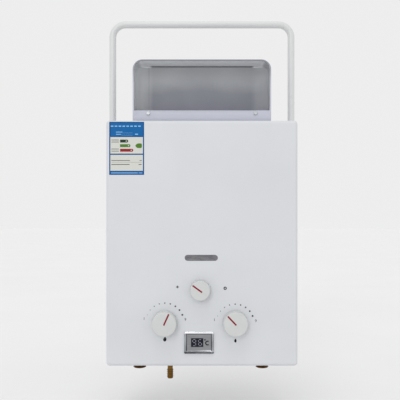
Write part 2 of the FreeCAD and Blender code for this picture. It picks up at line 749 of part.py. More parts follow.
def make_front_cover():
    """Folded sheet cover: five walls, the bottom open inside a lip, the top notched for the flue."""
    cover = new_body("front_cover")
    depth = d.case_depth - d.cover_setback
    outline = Profile(cover, "XZ_Plane", d.cover_setback).box(-lay.side, 0, lay.side, d.case_height)
    pad(cover, outline, depth)
    rear = -d.cover_setback.value
    fillet(cover, d.cover_edge, lambda edge: edge.BoundBox.YMin < rear - MARGIN)
    hollow = doc.addObject("PartDesign::Body", "Hollow")
    inside = Profile(hollow, "XZ_Plane", d.cover_setback - MARGIN)
    inside.box(-lay.inner_side, d.cover_sheet, lay.inner_side, lay.inner_top)
    pad(hollow, inside, depth - d.cover_sheet + MARGIN)
    bevel(hollow, d.cover_bevel, lambda edge: edge.BoundBox.YMin < rear - MARGIN)
    shell = feature(cover, "Boolean")
    shell.setObjects([hollow])
    shell.Type = "Cut"
    opening = Profile(cover, "XY_Plane", -MARGIN)
    opening.box(-lay.side + d.cover_lip, -d.case_depth + d.cover_lip, lay.side - d.cover_lip, MARGIN)
    pocket(cover, opening, d.cover_sheet + 1.5 * MARGIN)
    notch = Profile(cover, "XY_Plane", lay.inner_top - MARGIN)
    notch.box(-lay.neck_side - d.sheet_gap, -lay.neck_front - d.sheet_gap, lay.neck_side + d.sheet_gap, MARGIN)
    pocket(cover, notch, d.cover_sheet + 2 * MARGIN)
    front = Profile(cover, "XZ_Plane", lay.inner_front - MARGIN)
    front.slot(d.slot_x, d.slot_z, d.slot_width, d.slot_height)
    for x, z in ((d.gas_x, d.control_z), (d.water_x, d.control_z), (d.season_x, d.season_z)):
        front.many_sided(x, z, d.control_hole, 12)
    half_width = d.bezel_width / 2 - d.bezel_rim + d.collar_wall + d.sheet_gap
    half_height = d.bezel_height / 2 - d.bezel_rim + d.collar_wall + d.sheet_gap
    front.box(
        d.display_x - half_width,
        d.display_z - half_height,
        d.display_x + half_width,
        d.display_z + half_height,
    )
    pocket(cover, front, d.cover_sheet + 2 * MARGIN)
    vents = Profile(cover, "YZ_Plane", -lay.side - MARGIN)
    for i in range(5):
        low = d.vent_low + i * d.vent_pitch
        vents.box(-d.vent_out, low, -d.vent_out + d.vent_width, low + d.vent_height)
    for z in (d.screw_low, d.screw_high):
        vents.box(-d.screw_out - d.notch_width / 2, z - d.notch_width / 2, 0, z + d.notch_width / 2)
    bush_hole = d.bush_sleeve + d.sheet_gap
    vents.box(-d.handle_out - bush_hole, lay.pivot_z - bush_hole, 0, lay.pivot_z + bush_hole)
    pocket(cover, vents, d.case_width + 2 * MARGIN)


def make_back_plate():
    """Tray of sheet with flanges all round, a pressed panel, two keyholes and two lower holes."""
    plate = new_body("back_plate")
    tray = Profile(plate, "XZ_Plane")
    corner = d.cover_bevel
    tray.polygon(cornered(-lay.tray_side, lay.tray_low, lay.tray_side, lay.tray_high, corner, corner, 1))
    pad(plate, tray, lay.tray_front)
    inner_side = lay.tray_side - d.plate_sheet
    inside = Profile(plate, "XZ_Plane", d.plate_sheet)
    corner = d.cover_bevel - d.plate_sheet * (2 - math.sqrt(2))
    low, high = lay.tray_low + d.plate_sheet, lay.tray_high - d.plate_sheet
    inside.polygon(cornered(-inner_side, low, inner_side, high, corner, corner, 1))
    pocket(plate, inside, d.plate_flange + MARGIN)
    half = d.panel_width / 2
    raised = Profile(plate, "XZ_Plane").box(-half, d.panel_low, half, d.panel_high)
    pad(plate, raised, lay.panel_front)
    pressed = Profile(plate, "XZ_Plane", -MARGIN)
    inner_half = half - d.plate_sheet
    pressed.box(-inner_half, d.panel_low + d.plate_sheet, inner_half, d.panel_high - d.plate_sheet)
    pocket(plate, pressed, d.panel_depth + MARGIN)
    closing = Profile(plate, "XY_Plane", lay.tray_high - d.plate_sheet)
    closing.box(-lay.neck_side, -lay.neck_back + d.sheet_gap, lay.neck_side, -lay.tray_front + MARGIN)
    pad(plate, closing, d.plate_sheet)
    rounds = Profile(plate, "XZ_Plane", -MARGIN)
    slots = Profile(plate, "XZ_Plane", -MARGIN)
    for x in (-d.keyhole_pitch / 2, d.keyhole_pitch / 2):
        rounds.circle(x, lay.keyhole_z, d.keyhole_radius)
        rounds.circle(x, d.foot_hole_height, d.foot_hole_radius)
        neck = d.keyhole_neck / 2
        top = lay.keyhole_z + d.keyhole_rise + neck
        slots.polygon(cornered(x - neck, lay.keyhole_z, x + neck, top, neck / 4, neck / 2, 1))
    pocket(plate, rounds, d.plate_sheet + 2 * MARGIN)
    pocket(plate, slots, d.plate_sheet + 2 * MARGIN)
    bolts = Profile(plate, "YZ_Plane", -lay.side)
    bolts.many_sided(-d.handle_out, lay.pivot_z, around(d.bolt_radius + d.shaft_gap, 8), 8)
    for z in (d.screw_low, d.screw_high):
        bolts.many_sided(-d.screw_out, z, d.screw_radius + d.shaft_gap, 6)
    pocket(plate, bolts, d.case_width)
    battery = Profile(plate, "XY_Plane", lay.tray_low - MARGIN)
    battery_half = lay.box_half + d.box_wall + d.sheet_gap
    battery.box(d.box_x - battery_half, -lay.tray_front - MARGIN, d.box_x + battery_half, -d.box_back + d.sheet_gap)
    pocket(plate, battery, d.plate_sheet + 1.5 * MARGIN)


def make_bottom_plate():
    """Sheet on the cover's lip with holes for the connections, a battery opening and two hinge ears."""
    plate = new_body("bottom_plate")
    outline = Profile(plate, "XY_Plane", d.cover_sheet)
    outline.box(-lay.floor_side, -lay.floor_front, lay.floor_side, -d.plate_sheet)
    pad(plate, outline, d.floor_sheet)
    holes = Profile(plate, "XY_Plane", 0)
    holes.many_sided(-lay.coil_side, -d.pipe_out, lay.fitting_hole, 12)
    holes.many_sided(d.cold_x, -d.pipe_out, lay.fitting_hole, 12)
    holes.many_sided(d.gas_inlet_x, -d.gas_inlet_out, d.gas_shank + d.fitting_hole_gap, 12)
    holes.many_sided(d.drain_x, -d.drain_out, d.drain_radius + d.fitting_hole_gap, 12)
    holes.box(d.box_x - lay.box_half, -lay.box_front_inside, d.box_x + lay.box_half, -lay.box_back_inside)
    for i in range(6):
        x = -78 + 14 * i
        holes.box(x, -d.case_depth + 22, x + 8, -d.case_depth + 42)
    pocket(plate, holes, lay.tray_low + MARGIN)
    ear_back = -lay.hinge_out + d.ear_half
    ear_front = -lay.hinge_out - d.ear_half
    for side in (-1, 1):
        start = d.box_x + side * (d.hinge_length / 2 + d.move_gap) + min(side, 0) * d.ear_width
        ear = Profile(plate, "YZ_Plane", start)
        ear.box(ear_front, lay.hinge_z - d.ear_half, ear_back, d.cover_sheet + d.floor_sheet / 2)
        pad(plate, ear, d.ear_width)
        bore = Profile(plate, "YZ_Plane", start - MARGIN)
        bore.many_sided(-lay.hinge_out, lay.hinge_z, around(d.hinge_pin + d.shaft_gap, 8), 8)
        pocket(plate, bore, d.ear_width + 2 * MARGIN)


def make_screws():
    """Hexagon head sheet metal screws: four through the cover's sides, two through the cap's band."""
    screws = new_body("case_screws")
    heads = [
        ("YZ_Plane", -lay.side - d.screw_head_height, -lay.side),
        ("YZ_Plane", lay.side, lay.side - d.screw_reach),
    ]
    for plane, head_start, shank_start in heads:
        head = Profile(screws, plane, head_start)
        shank = Profile(screws, plane, shank_start)
        for z in (d.screw_low, d.screw_high):
            head.many_sided(-d.screw_out, z, d.screw_head, 6)
            shank.many_sided(-d.screw_out, z, d.screw_radius, 6)
        pad(screws, head, d.screw_head_height)
        pad(screws, shank, d.screw_reach)
    head = Profile(screws, "XZ_Plane", d.cap_front)
    shank = Profile(screws, "XZ_Plane", d.cap_front - d.screw_reach)
    for x in (-d.cap_screw_x, d.cap_screw_x):
        head.many_sided(x, lay.cap_screw_z, d.screw_head, 6)
        shank.many_sided(x, lay.cap_screw_z, d.screw_radius, 6)
    pad(screws, head, d.screw_head_height)
    pad(screws, shank, d.screw_reach)


def make_sight_glass():
    """Mica strip behind the sight slot."""
    glass = new_body("sight_glass")
    half_width = d.slot_width / 2 + d.glass_lap
    half_height = d.slot_height / 2 + d.glass_lap
    outline = Profile(glass, "XZ_Plane", lay.inner_front - d.glass_sheet)
    outline.box(d.slot_x - half_width, d.slot_z - half_height, d.slot_x + half_width, d.slot_z + half_height)
    pad(glass, outline, d.glass_sheet)


# ---------------------------------------------------------------- carry handle


def make_handle():
    """One bar bent to a U, drilled across its ends for the pivot bolts."""
    foot = lay.pivot_z - d.handle_tail
    points = [
        (-lay.handle_x, -d.handle_out, foot),
        (-lay.handle_x, -d.handle_out, lay.handle_top),
        (lay.handle_x, -d.handle_out, lay.handle_top),
        (lay.handle_x, -d.handle_out, foot),
    ]
    where = [Vector(size(x).value, size(y).value, size(z).value) for x, y, z in points]
    bar = doc.addObject("Part::Feature", "Bar")
    bar.Shape = bent_tube(chords(where, d.handle_bend.value, 6), d.handle_radius.value, 14)
    reach = lay.handle_x + d.handle_radius + MARGIN
    bore = part_prism(
        -reach, -d.handle_out, lay.pivot_z, RIGHT, around(d.bolt_radius + d.shaft_gap, 12), 2 * reach, 12
    )
    keep(cut(bar, [bore]), "carry_handle")


def make_handle_bolts():
    """A bolt from outside through each leg, and its nut behind the back plate's flange."""
    bolts = new_body("handle_bolts")
    head_x = lay.handle_x + d.handle_radius + d.sheet_gap
    nut_x = lay.tray_side - d.plate_sheet - d.nut_height
    for side in (-1, 1):
        head = Profile(bolts, "YZ_Plane", side * head_x + min(side, 0) * d.bolt_head_height)
        head.many_sided(-d.handle_out, lay.pivot_z, d.bolt_head, 6)
        pad(bolts, head, d.bolt_head_height)
        length = head_x - nut_x - d.nut_height / 2
        shank = Profile(bolts, "YZ_Plane", side * head_x + min(-side, 0) * length)
        shank.circle(-d.handle_out, lay.pivot_z, d.bolt_radius)
        pad(bolts, shank, length)
        nut = Profile(bolts, "YZ_Plane", side * nut_x + min(side, 0) * d.nut_height)
        nut.many_sided(-d.handle_out, lay.pivot_z, d.nut_radius, 6)
        pad(bolts, nut, d.nut_height)


def make_handle_bushes():
    """Flanged plastic bushes that keep the legs off the casing."""
    bushes = new_body("handle_bushes")
    bore = around(d.bolt_radius + d.shaft_gap, 8)
    inner_x = lay.tray_side
    for side in (-1, 1):
        flange = Profile(bushes, "YZ_Plane", side * lay.side + min(side, 0) * d.bush_flange)
        flange.many_sided(-d.handle_out, lay.pivot_z, d.bush_radius, 12)
        flange.many_sided(-d.handle_out, lay.pivot_z, bore, 8)
        pad(bushes, flange, d.bush_flange)
        length = lay.side - inner_x
        sleeve = Profile(bushes, "YZ_Plane", side * inner_x + min(side, 0) * length)
        sleeve.many_sided(-d.handle_out, lay.pivot_z, d.bush_sleeve, 8)
        sleeve.many_sided(-d.handle_out, lay.pivot_z, bore, 8)
        pad(bushes, sleeve, length)


# ---------------------------------------------------------------- rain cap and flue


def make_rain_cap():
    """Scoop of sheet: the form common to a front outline with round shoulders and a plan with round
    rear corners, shelled, open below and open to the front above a closed band."""

    def form(inset, low, front):
        outline = extrude(
            lambda profile: profile.polygon(
                cornered(
                    -lay.cap_side + inset,
                    low,
                    lay.cap_side - inset,
                    lay.cap_top - inset,
                    size(2),
                    d.cap_shoulder - inset,
                    5,
                )
            ),
            "XZ_Plane",
            0,
            d.cap_front + 2 * MARGIN,
        )
        plan = extrude(
            lambda profile: profile.polygon(
                cornered(
                    -lay.cap_side + inset,
                    -d.cap_front + front,
                    lay.cap_side - inset,
                    -d.cap_back - inset,
                    size(2),
                    d.cap_rear_corner - inset,
                    5,
                )
            ),
            "XY_Plane",
            d.case_height - 10 * MARGIN,
            d.cap_rise + 20 * MARGIN,
        )
        both = doc.addObject("Part::MultiCommon", "Form")
        both.Shapes = [outline, plan]
        return both

    skirt = part_box(
        -d.cap_width, -2 * d.cap_front, d.case_height - 20 * MARGIN, d.cap_width, 0, d.case_height
    )
    outside = form(size(0), d.case_height - 10 * MARGIN, size(0))
    inside = form(d.cap_sheet, d.case_height - 15 * MARGIN, d.cap_sheet)
    lip_side = lay.cap_side - d.cap_lip
    window = extrude(
        lambda profile: profile.polygon(
            cornered(
                -lip_side,
                d.case_height + d.cap_band,
                lip_side,
                lay.cap_top - d.cap_lip,
                size(2),
                d.cap_shoulder - d.cap_lip,
                5,
            )
        ),
        "XZ_Plane",
        d.cap_front - 3 * MARGIN,
        5 * MARGIN,
    )
    holes = extrude(
        lambda profile: profile.many_sided(
            -d.cap_screw_x, lay.cap_screw_z, d.screw_radius + d.shaft_gap, 6
        ).many_sided(d.cap_screw_x, lay.cap_screw_z, d.screw_radius + d.shaft_gap, 6),
        "XZ_Plane",
        d.cap_front - 3 * MARGIN,
        5 * MARGIN,
    )
    keep(cut(outside, [inside, skirt, window, holes]), "rain_cap")


def make_flue_hood():
    """Sheet hood from the exchanger's rectangle up to the neck that the rain cap is screwed to."""

    def flare(inset, top):
        low, side = d.chamber_high, lay.chamber_side - inset
        front, back = -lay.chamber_front + inset, -d.chamber_back - inset
        seen_front = [
            (-side, low - MARGIN),
            (side, low - MARGIN),
            (side, low),
            (lay.neck_side - inset, top),
            (-lay.neck_side + inset, top),
            (-side, low),
        ]
        seen_side = [
            (front, low - MARGIN),
            (back, low - MARGIN),
            (back, low),
            (-lay.neck_back - inset, top),
            (-lay.neck_front + inset, top),
            (front, low),
        ]
        both = doc.addObject("Part::MultiCommon", "Form")
        both.Shapes = [
            extrude(lambda profile: profile.polygon(seen_front), "XZ_Plane", 0, 2 * d.case_depth),
            extrude(lambda profile: profile.polygon(seen_side), "YZ_Plane", -d.case_width, 2 * d.case_width),
        ]
        return both

    def neck(inset, low, high):
        side = lay.neck_side - inset
        front, back = -lay.neck_front + inset, -lay.neck_back - inset
        corner = lay.neck_corner - inset
        plan = cornered(-side, front, side, back, size(2), corner, 5)
        return extrude(lambda profile: profile.polygon(plan), "XY_Plane", low, high - low)

    none = size(0)
    wall = d.chamber_sheet
    high = lay.neck_top
    trim = part_box(
        -d.case_width, -d.case_depth, d.chamber_high - 2 * MARGIN, d.case_width, 0, d.chamber_high
    )
    half = d.screw_radius + d.shaft_gap
    holes = extrude(
        lambda profile: profile.many_sided(-d.cap_screw_x, lay.cap_screw_z, half, 6).many_sided(
            d.cap_screw_x, lay.cap_screw_z, half, 6
        ),
        "XZ_Plane",
        lay.neck_front - 2 * MARGIN,
        4 * MARGIN,
    )
    outside = fuse([flare(none, d.neck_low), neck(none, d.neck_low - wall / 2, high)])
    inside = [flare(wall, d.neck_low - wall), neck(wall, d.neck_low - 2 * MARGIN, high + MARGIN)]
    keep(cut(outside, inside + [trim, holes]), "flue_hood")


# ---------------------------------------------------------------- heat exchanger


def fin_tube_places():
    return [-(d.fin_tube_back + i * d.fin_tube_pitch) for i in range(3)]


def chamber_plan(inset):
    """Plan of the combustion chamber with its bevelled corners, set in by a sheet's thickness."""
    side = lay.chamber_side - inset
    front, back = -lay.chamber_front + inset, -d.chamber_back - inset
    bevel = d.chamber_bevel - inset * (2 - math.sqrt(2))
    return cornered(-side, front, side, back, bevel, bevel, 1)


def make_combustion_chamber():
    """Copper chamber, open above and below, its ends pierced for the fin tubes."""
    chamber = new_body("combustion_chamber")
    height = d.chamber_high - d.chamber_low
    outline = Profile(chamber, "XY_Plane", d.chamber_low).polygon(chamber_plan(size(0)))
    pad(chamber, outline, height)
    inside = Profile(chamber, "XY_Plane", d.chamber_low - MARGIN).polygon(chamber_plan(d.chamber_sheet))
    pocket(chamber, inside, height + 2 * MARGIN)
    holes = Profile(chamber, "YZ_Plane", -lay.chamber_side - MARGIN)
    for y in fin_tube_places():
        holes.many_sided(y, d.fin_tube_z, d.tube_radius + 2 * d.shaft_gap, int(d.tube_sides.value))
    pocket(chamber, holes, d.chamber_width + 2 * MARGIN)


def make_fin_stack():
    """Thin copper fins across the chamber, all on the same three tubes."""
    stack = new_body("fin_stack")
    reach = d.fin_pitch * (d.fin_count - 1) / 2 + d.fin_sheet / 2
    low = d.fin_tube_z - d.fin_height / 2
    gap = d.chamber_sheet + d.shaft_gap
    fin = Profile(stack, "YZ_Plane", -reach)
    fin.box(-lay.chamber_front + gap, low, -d.chamber_back - gap, low + d.fin_height)
    for y in fin_tube_places():
        fin.many_sided(y, d.fin_tube_z, d.tube_radius + d.shaft_gap, int(d.tube_sides.value))
    repeat(stack, [pad(stack, fin, d.fin_sheet)], "X_Axis", d.fin_pitch, d.fin_count)


def make_fin_tubes():
    """The three straight tubes through the fins."""
    tubes = new_body("fin_tubes")
    for i, y in enumerate(fin_tube_places()):
        left = lay.chamber_side + (d.sheet_gap if i == 2 else 0)
        right = lay.chamber_side + (d.sheet_gap if i == 0 else 0)
        section = Profile(tubes, "YZ_Plane", -left)
        section.many_sided(y, d.fin_tube_z, d.tube_radius, int(d.tube_sides.value))
        pad(tubes, section, left + right)


def make_return_headers():
    """Copper boxes on the chamber's ends that turn the water from one tube into the next."""
    headers = new_body("return_headers")
    places = fin_tube_places()
    half = d.header_half
    for side, first, second in ((-1, 0, 1), (1, 1, 2)):
        start = side * lay.chamber_side + min(side, 0) * d.header_depth
        section = Profile(headers, "YZ_Plane", start)
        bevel = half / 2
        left, right = places[second] - half, places[first] + half
        low, high = d.fin_tube_z - half, d.fin_tube_z + half
        section.polygon(
            [
                (left + bevel, low),
                (right - bevel, low),
                (right, low + bevel),
                (right, high - bevel),
                (right - bevel, high),
                (left + bevel, high),
                (left, high - bevel),
                (left, low + bevel),
            ]
        )
        pad(headers, section, d.header_depth)


def make_chamber_coil():
    """Water tube from the riser once round the chamber and up to the first fin tube."""
    first_tube = -d.fin_tube_back
    points = [
        (lay.coil_side, -d.pipe_out, d.coil_start),
        (lay.coil_side, -d.pipe_out, d.coil_low),
        (lay.coil_side, -lay.coil_front, d.coil_low),
        (-lay.coil_side, -lay.coil_front, d.coil_low),
        (-lay.coil_side, -lay.coil_back, d.coil_low),
        (d.coil_offset, -lay.coil_back, d.coil_high),
        (d.coil_offset, first_tube, d.coil_high),
        (d.coil_offset, first_tube, d.fin_tube_z),
        (lay.chamber_side + d.sheet_gap, first_tube, d.fin_tube_z),
    ]
    tube_part("chamber_coil", points, d.tube_radius, d.tube_bend / 1.2, d.tube_sides)


def make_pipes():
    """The riser from the water valve and the hot pipe down to its fitting, with their nuts."""
    riser_foot = d.inlet_boss_high
    cold = new_body("cold_pipe")
    section = Profile(cold, "XY_Plane", riser_foot)
    section.many_sided(lay.coil_side, -d.pipe_out, d.tube_radius, int(d.tube_sides.value))
    pad(cold, section, d.coil_start - riser_foot)
    last_tube = -lay.fin_tube_front
    points = [
        (-lay.chamber_side - d.sheet_gap, last_tube, d.fin_tube_z),
        (-d.hot_offset, last_tube, d.fin_tube_z),
        (-d.hot_offset, last_tube, d.hot_drop + 34),
        (-lay.coil_side, -d.pipe_out, d.hot_drop),
        (-lay.coil_side, -d.pipe_out, d.hot_top),
    ]
    tube_part("hot_pipe", points, d.tube_radius, d.tube_bend, d.tube_sides)
    nuts = new_body("pipe_nuts")
    seats = [
        (lay.coil_side, riser_foot),
        (lay.coil_side, d.coil_start - d.pipe_nut_height / 2),
        (-lay.coil_side, d.hot_top),
    ]
    for x, z in seats:
        nut = Profile(nuts, "XY_Plane", z)
        nut.many_sided(x, -d.pipe_out, d.nut_hex, 6)
        nut.many_sided(x, -d.pipe_out, around(d.tube_radius + d.shaft_gap, 8), 8)
        pad(nuts, nut, d.pipe_nut_height)


def make_exchanger_brackets():
    """Two Z section rails between the back plate's panel and the exchanger."""
    brackets = new_body("exchanger_brackets")
    back, front, wall = -lay.panel_front, -d.chamber_back, d.bracket_sheet
    for low in (d.bracket_low, d.bracket_high):
        high = low + d.bracket_height
        section = Profile(brackets, "YZ_Plane", -d.bracket_width / 2)
        section.polygon(
            [
                (back, low),
                (back, high),
                (front + wall, high),
                (front + wall, high + wall),
                (front, high + wall),
                (front, high - wall),
                (back - wall, high - wall),
                (back - wall, low),
            ]
        )
        pad(brackets, section, d.bracket_width)


def make_thermostat():
    """Snap disc thermostat on the chamber's right end."""
    base = part_box(
        lay.chamber_side,
        -d.thermostat_out - 1.5 * d.thermostat_radius,
        d.thermostat_z - d.thermostat_radius / 2,
        lay.chamber_side + d.cover_sheet,
        -d.thermostat_out + 1.5 * d.thermostat_radius,
        d.thermostat_z + d.thermostat_radius / 2,
    )
    can = part_prism(
        lay.chamber_side, -d.thermostat_out, d.thermostat_z, RIGHT, d.thermostat_radius, d.thermostat_height, 16
    )
    keep(fuse([base, can]), "overheat_thermostat")


# ---------------------------------------------------------------- burner


def make_burner_frame():
    """Sheet frame under the chamber with two ledges for the bars and a window at the front."""
    frame = new_body("burner_frame")
    height = d.chamber_low - d.frame_low
    outline = Profile(frame, "XY_Plane", d.frame_low)
    outline.box(-lay.chamber_side, -lay.chamber_front, lay.chamber_side, -d.chamber_back)
    pad(frame, outline, height)
    side = lay.chamber_side - d.frame_sheet
    front = -lay.chamber_front + d.frame_sheet
    back = -d.chamber_back - d.frame_sheet
    inside = Profile(frame, "XY_Plane", d.frame_low - MARGIN).box(-side, front, side, back)
    pocket(frame, inside, height + 2 * MARGIN)
    ledges = Profile(frame, "XY_Plane", lay.ledge_top - d.frame_sheet)
    ledges.box(-side - MARGIN / 2, front - MARGIN / 2, side + MARGIN / 2, front + d.frame_ledge)
    ledges.box(-side - MARGIN / 2, back - d.frame_ledge, side + MARGIN / 2, back + MARGIN / 2)
    pad(frame, ledges, d.frame_sheet)
    window = Profile(frame, "XZ_Plane", lay.chamber_front - 2 * MARGIN)
    half = d.slot_width / 2
    middle = d.slot_z
    window.box(d.slot_x - half, middle - d.slot_height / 2, d.slot_x + half, middle + d.slot_height / 2)
    for x in (d.spark_x, d.probe_x):
        window.many_sided(x, d.electrode_z, d.electrode_radius + d.shaft_gap, 12)
    pocket(frame, window, 4 * MARGIN)


def make_burner_bars():
    """Six pressed burner bars: a blade, a slotted rail on top and a mixing tube below."""
    bars = new_body("burner_bars")
    first = -d.burner_pitch * (d.burner_count - 1) / 2
    front = -lay.chamber_front + d.burner_gap
    back = -d.chamber_back - d.burner_gap
    rail = Profile(bars, "YZ_Plane", first - d.burner_rail_width / 2)
    rail.box(front, lay.ledge_top, back, d.burner_top)
    rail_pad = pad(bars, rail, d.burner_rail_width)
    blade = Profile(bars, "YZ_Plane", first - d.burner_blade / 2)
    blade_front, blade_back = front + d.frame_ledge, back - d.frame_ledge
    tube_z = d.season_z
    blade.polygon(
        [
            (front, d.burner_bottom),
            (blade_back - 10, d.burner_bottom),
            (blade_back, d.burner_bottom + 12),
            (blade_back, lay.ledge_top),
            (blade_front, lay.ledge_top),
            (blade_front, tube_z + d.venturi_radius + 3),
            (front, tube_z + d.venturi_radius + 1),
        ]
    )
    blade_pad = pad(bars, blade, d.burner_blade)
    venturi = Profile(bars, "XZ_Plane", -front - d.venturi_length)
    venturi.many_sided(first, tube_z, d.venturi_radius, 6)
    venturi_pad = pad(bars, venturi, d.venturi_length)
    mouth = Profile(bars, "XZ_Plane", -front - d.venturi_length / 2)
    mouth.many_sided(first, tube_z, d.venturi_radius - 1.2, 6)
    mouth_cut = pocket(bars, mouth, d.venturi_length / 2 + MARGIN)
    slot = Profile(bars, "XY_Plane", d.burner_top - d.burner_rail / 2)
    slot.box(first - 1, front + 2, first + 1, back - 2)
    slot_cut = pocket(bars, slot, d.burner_rail / 2 + MARGIN)
    features = [rail_pad, blade_pad, venturi_pad, mouth_cut, slot_cut]
    repeat(bars, features, "X_Axis", d.burner_pitch, d.burner_count)


def make_gas_manifold():
    """Gas pipe across the front with a flat rail for the nozzles and the season valve in its middle."""
    z = d.season_z
    half = d.manifold_length / 2
    pipe = part_prism(-half, -d.manifold_out, z, RIGHT, d.manifold_radius, d.manifold_length, 16)
    rail_half = d.manifold_rail_height / 2
    rail = part_box(-half, -d.manifold_out, z - rail_half, half, -lay.rail_out, z + rail_half)
    length = z - d.gas_body_high
    riser = part_prism(d.riser_x, -d.manifold_out, d.gas_body_high, UP, d.riser_radius, length, 12)
    boss = part_prism(d.season_x, -d.manifold_out, z, FRONT, d.season_boss, d.season_boss_length, 16)
    body = fuse([pipe, rail, riser, boss])
    bore_start = d.manifold_out + 2
    bore_radius = around(d.season_spindle_radius + d.shaft_gap, 8)
    bore = part_prism(d.season_x, -bore_start, z, FRONT, bore_radius, d.season_boss_length, 8)
    keep(cut(body, [bore]), "gas_manifold")


def make_gas_nozzles():
    """Brass nozzles on the manifold's rail, one for each burner bar."""
    nozzles = new_body("gas_nozzles")
    first = -d.burner_pitch * (d.burner_count - 1) / 2
    hexagon = Profile(nozzles, "XZ_Plane", lay.rail_out - d.nozzle_body)
    hexagon.many_sided(first, d.season_z, d.nozzle_hex, 6)
    hex_pad = pad(nozzles, hexagon, d.nozzle_body)
    tip = Profile(nozzles, "XZ_Plane", lay.rail_out - d.nozzle_body - d.nozzle_tip)
    tip.many_sided(first, d.season_z, d.nozzle_tip_radius, 6)
    tip_pad = pad(nozzles, tip, d.nozzle_tip)
    repeat(nozzles, [hex_pad, tip_pad], "X_Axis", d.burner_pitch, d.burner_count)


def make_electrode(label, x):
    """Ceramic stick through the frame's front wall with a wire over the flames."""
    stick = new_body(label)
    out = lay.chamber_front
    ceramic = Profile(stick, "XZ_Plane", out - d.electrode_nose)
    ceramic.many_sided(x, d.electrode_z, d.electrode_radius, 12)
    pad(stick, ceramic, d.electrode_nose + d.electrode_tail)
    wire = Profile(stick, "XZ_Plane", out - d.electrode_nose - d.electrode_reach)
    wire.many_sided(x, d.electrode_z, d.electrode_wire, 6)
    pad(stick, wire, d.electrode_reach)


def make_electrode_bracket():
    """Plate on the burner frame that clamps both electrodes."""
    plate = new_body("electrode_bracket")
    outline = Profile(plate, "XZ_Plane", lay.chamber_front)
    half = d.electrode_plate_height / 2
    left, right = d.spark_x - d.electrode_plate_lap, d.probe_x + d.electrode_plate_lap
    outline.box(left, d.electrode_z - half, right, d.electrode_z + half)
    for x in (d.spark_x, d.probe_x):
        outline.many_sided(x, d.electrode_z, d.electrode_radius + d.shaft_gap, 12)
    pad(plate, outline, d.electrode_plate_sheet)


# ---------------------------------------------------------------- linked gas and water valves


def make_gas_valve_body():
    """Cast block with bosses for rod, spindle and inlet, bored for the rod and the disc's chamber."""
    block = new_body("gas_valve_body")
    low, high = d.gas_body_low, d.gas_body_high
    front, back = -d.gas_body_front, -d.gas_body_back
    outline = Profile(block, "YZ_Plane", d.gas_body_left)
    bevel = d.boss_radius / 2
    outline.polygon(
        [
            (front + bevel, low),
            (back, low),
            (back, high - bevel),
            (back - bevel, high),
            (front, high),
            (front, low + bevel),
        ]
    )
    pad(block, outline, d.gas_body_right - d.gas_body_left)
    gland = Profile(block, "YZ_Plane", d.gas_body_right)
    gland.many_sided(-d.train_out, d.control_z, d.boss_radius, 16)
    pad(block, gland, d.boss_length)
    boss = Profile(block, "XZ_Plane", d.gas_body_front)
    boss.many_sided(d.gas_x, d.control_z, d.boss_radius, 16)
    pad(block, boss, d.spindle_boss)
    rod = Profile(block, "YZ_Plane", d.seat_x - MARGIN)
    rod.many_sided(-d.train_out, d.control_z, around(d.rod_radius + d.shaft_gap, 12), 12)
    pocket(block, rod, lay.gland_x - d.seat_x + 2 * MARGIN)
    chamber = Profile(block, "YZ_Plane", d.gas_body_left - MARGIN)
    chamber.many_sided(-d.train_out, d.control_z, d.gas_chamber, 16)
    pocket(block, chamber, d.seat_x - d.gas_body_left + MARGIN)
    spindle = Profile(block, "XZ_Plane", d.gas_body_front - d.spindle_depth)
    spindle.many_sided(d.gas_x, d.control_z, around(d.spindle_radius + d.shaft_gap, 8), 8)
    pocket(block, spindle, d.spindle_depth + d.spindle_boss + MARGIN)


def make_gas_end_cap():
    """Screwed cap over the gas valve's chamber."""
    cap = new_body("gas_end_cap")
    outline = Profile(cap, "YZ_Plane", d.gas_body_left - d.end_cap_width)
    outline.many_sided(-d.train_out, d.control_z, d.end_cap_radius, 6)
    pad(cap, outline, d.end_cap_width)


def make_gas_valve_disc():
    """Disc that the linkage lifts off its seat."""
    disc = part_prism(0, 0, 0, UP, d.gas_disc, d.gas_disc_width, 16)
    keep(disc, "gas_valve_disc", lay.disc_x - d.gas_disc_width, -d.train_out, d.control_z, RIGHT)


def make_linkage_rod():
    """Rod from the diaphragm's plate to the gas valve's disc, with a collar for the switch lever."""
    rod = part_prism(
        lay.disc_x, -d.train_out, d.control_z, RIGHT, d.rod_radius, lay.plate_x - lay.disc_x, 12
    )
    collar = part_prism(d.collar_x, -d.train_out, d.control_z, RIGHT, d.collar_radius, d.collar_width, 12)
    keep(fuse([rod, collar]), "linkage_rod")


def make_diaphragm_plate():
    """Plate that the diaphragm pushes."""
    plate = part_prism(0, 0, 0, UP, d.plate_radius, d.plate_width, 24)
    keep(plate, "diaphragm_plate", lay.plate_x, -d.train_out, d.control_z, RIGHT)


def make_diaphragm():
    """Rubber diaphragm clamped between the two halves of its housing."""
    disc = part_prism(0, 0, 0, UP, d.dish_radius, d.diaphragm_sheet, 24)
    keep(disc, "diaphragm", d.diaphragm_x, -d.train_out, d.control_z, RIGHT)


def make_diaphragm_cover():
    """Dish with a gland that guides the rod."""
    cover = new_body("diaphragm_cover")
    y, z = -d.train_out, d.control_z
    gland = Profile(cover, "YZ_Plane", d.cover_boss_x).many_sided(y, z, d.boss_radius, 16)
    pad(cover, gland, d.dish_x - d.cover_boss_x + MARGIN)
    dish = Profile(cover, "YZ_Plane", d.dish_x).many_sided(y, z, d.dish_radius, 24)
    pad(cover, dish, d.diaphragm_x - d.dish_x)
    cavity = Profile(cover, "YZ_Plane", d.dish_x + d.dish_wall).many_sided(y, z, d.dish_cavity, 24)
    pocket(cover, cavity, d.diaphragm_x - d.dish_x)
    bore = Profile(cover, "YZ_Plane", d.cover_boss_x - MARGIN)
    bore.many_sided(y, z, around(d.rod_radius + d.shaft_gap, 12), 12)
    pocket(cover, bore, d.diaphragm_x - d.cover_boss_x)


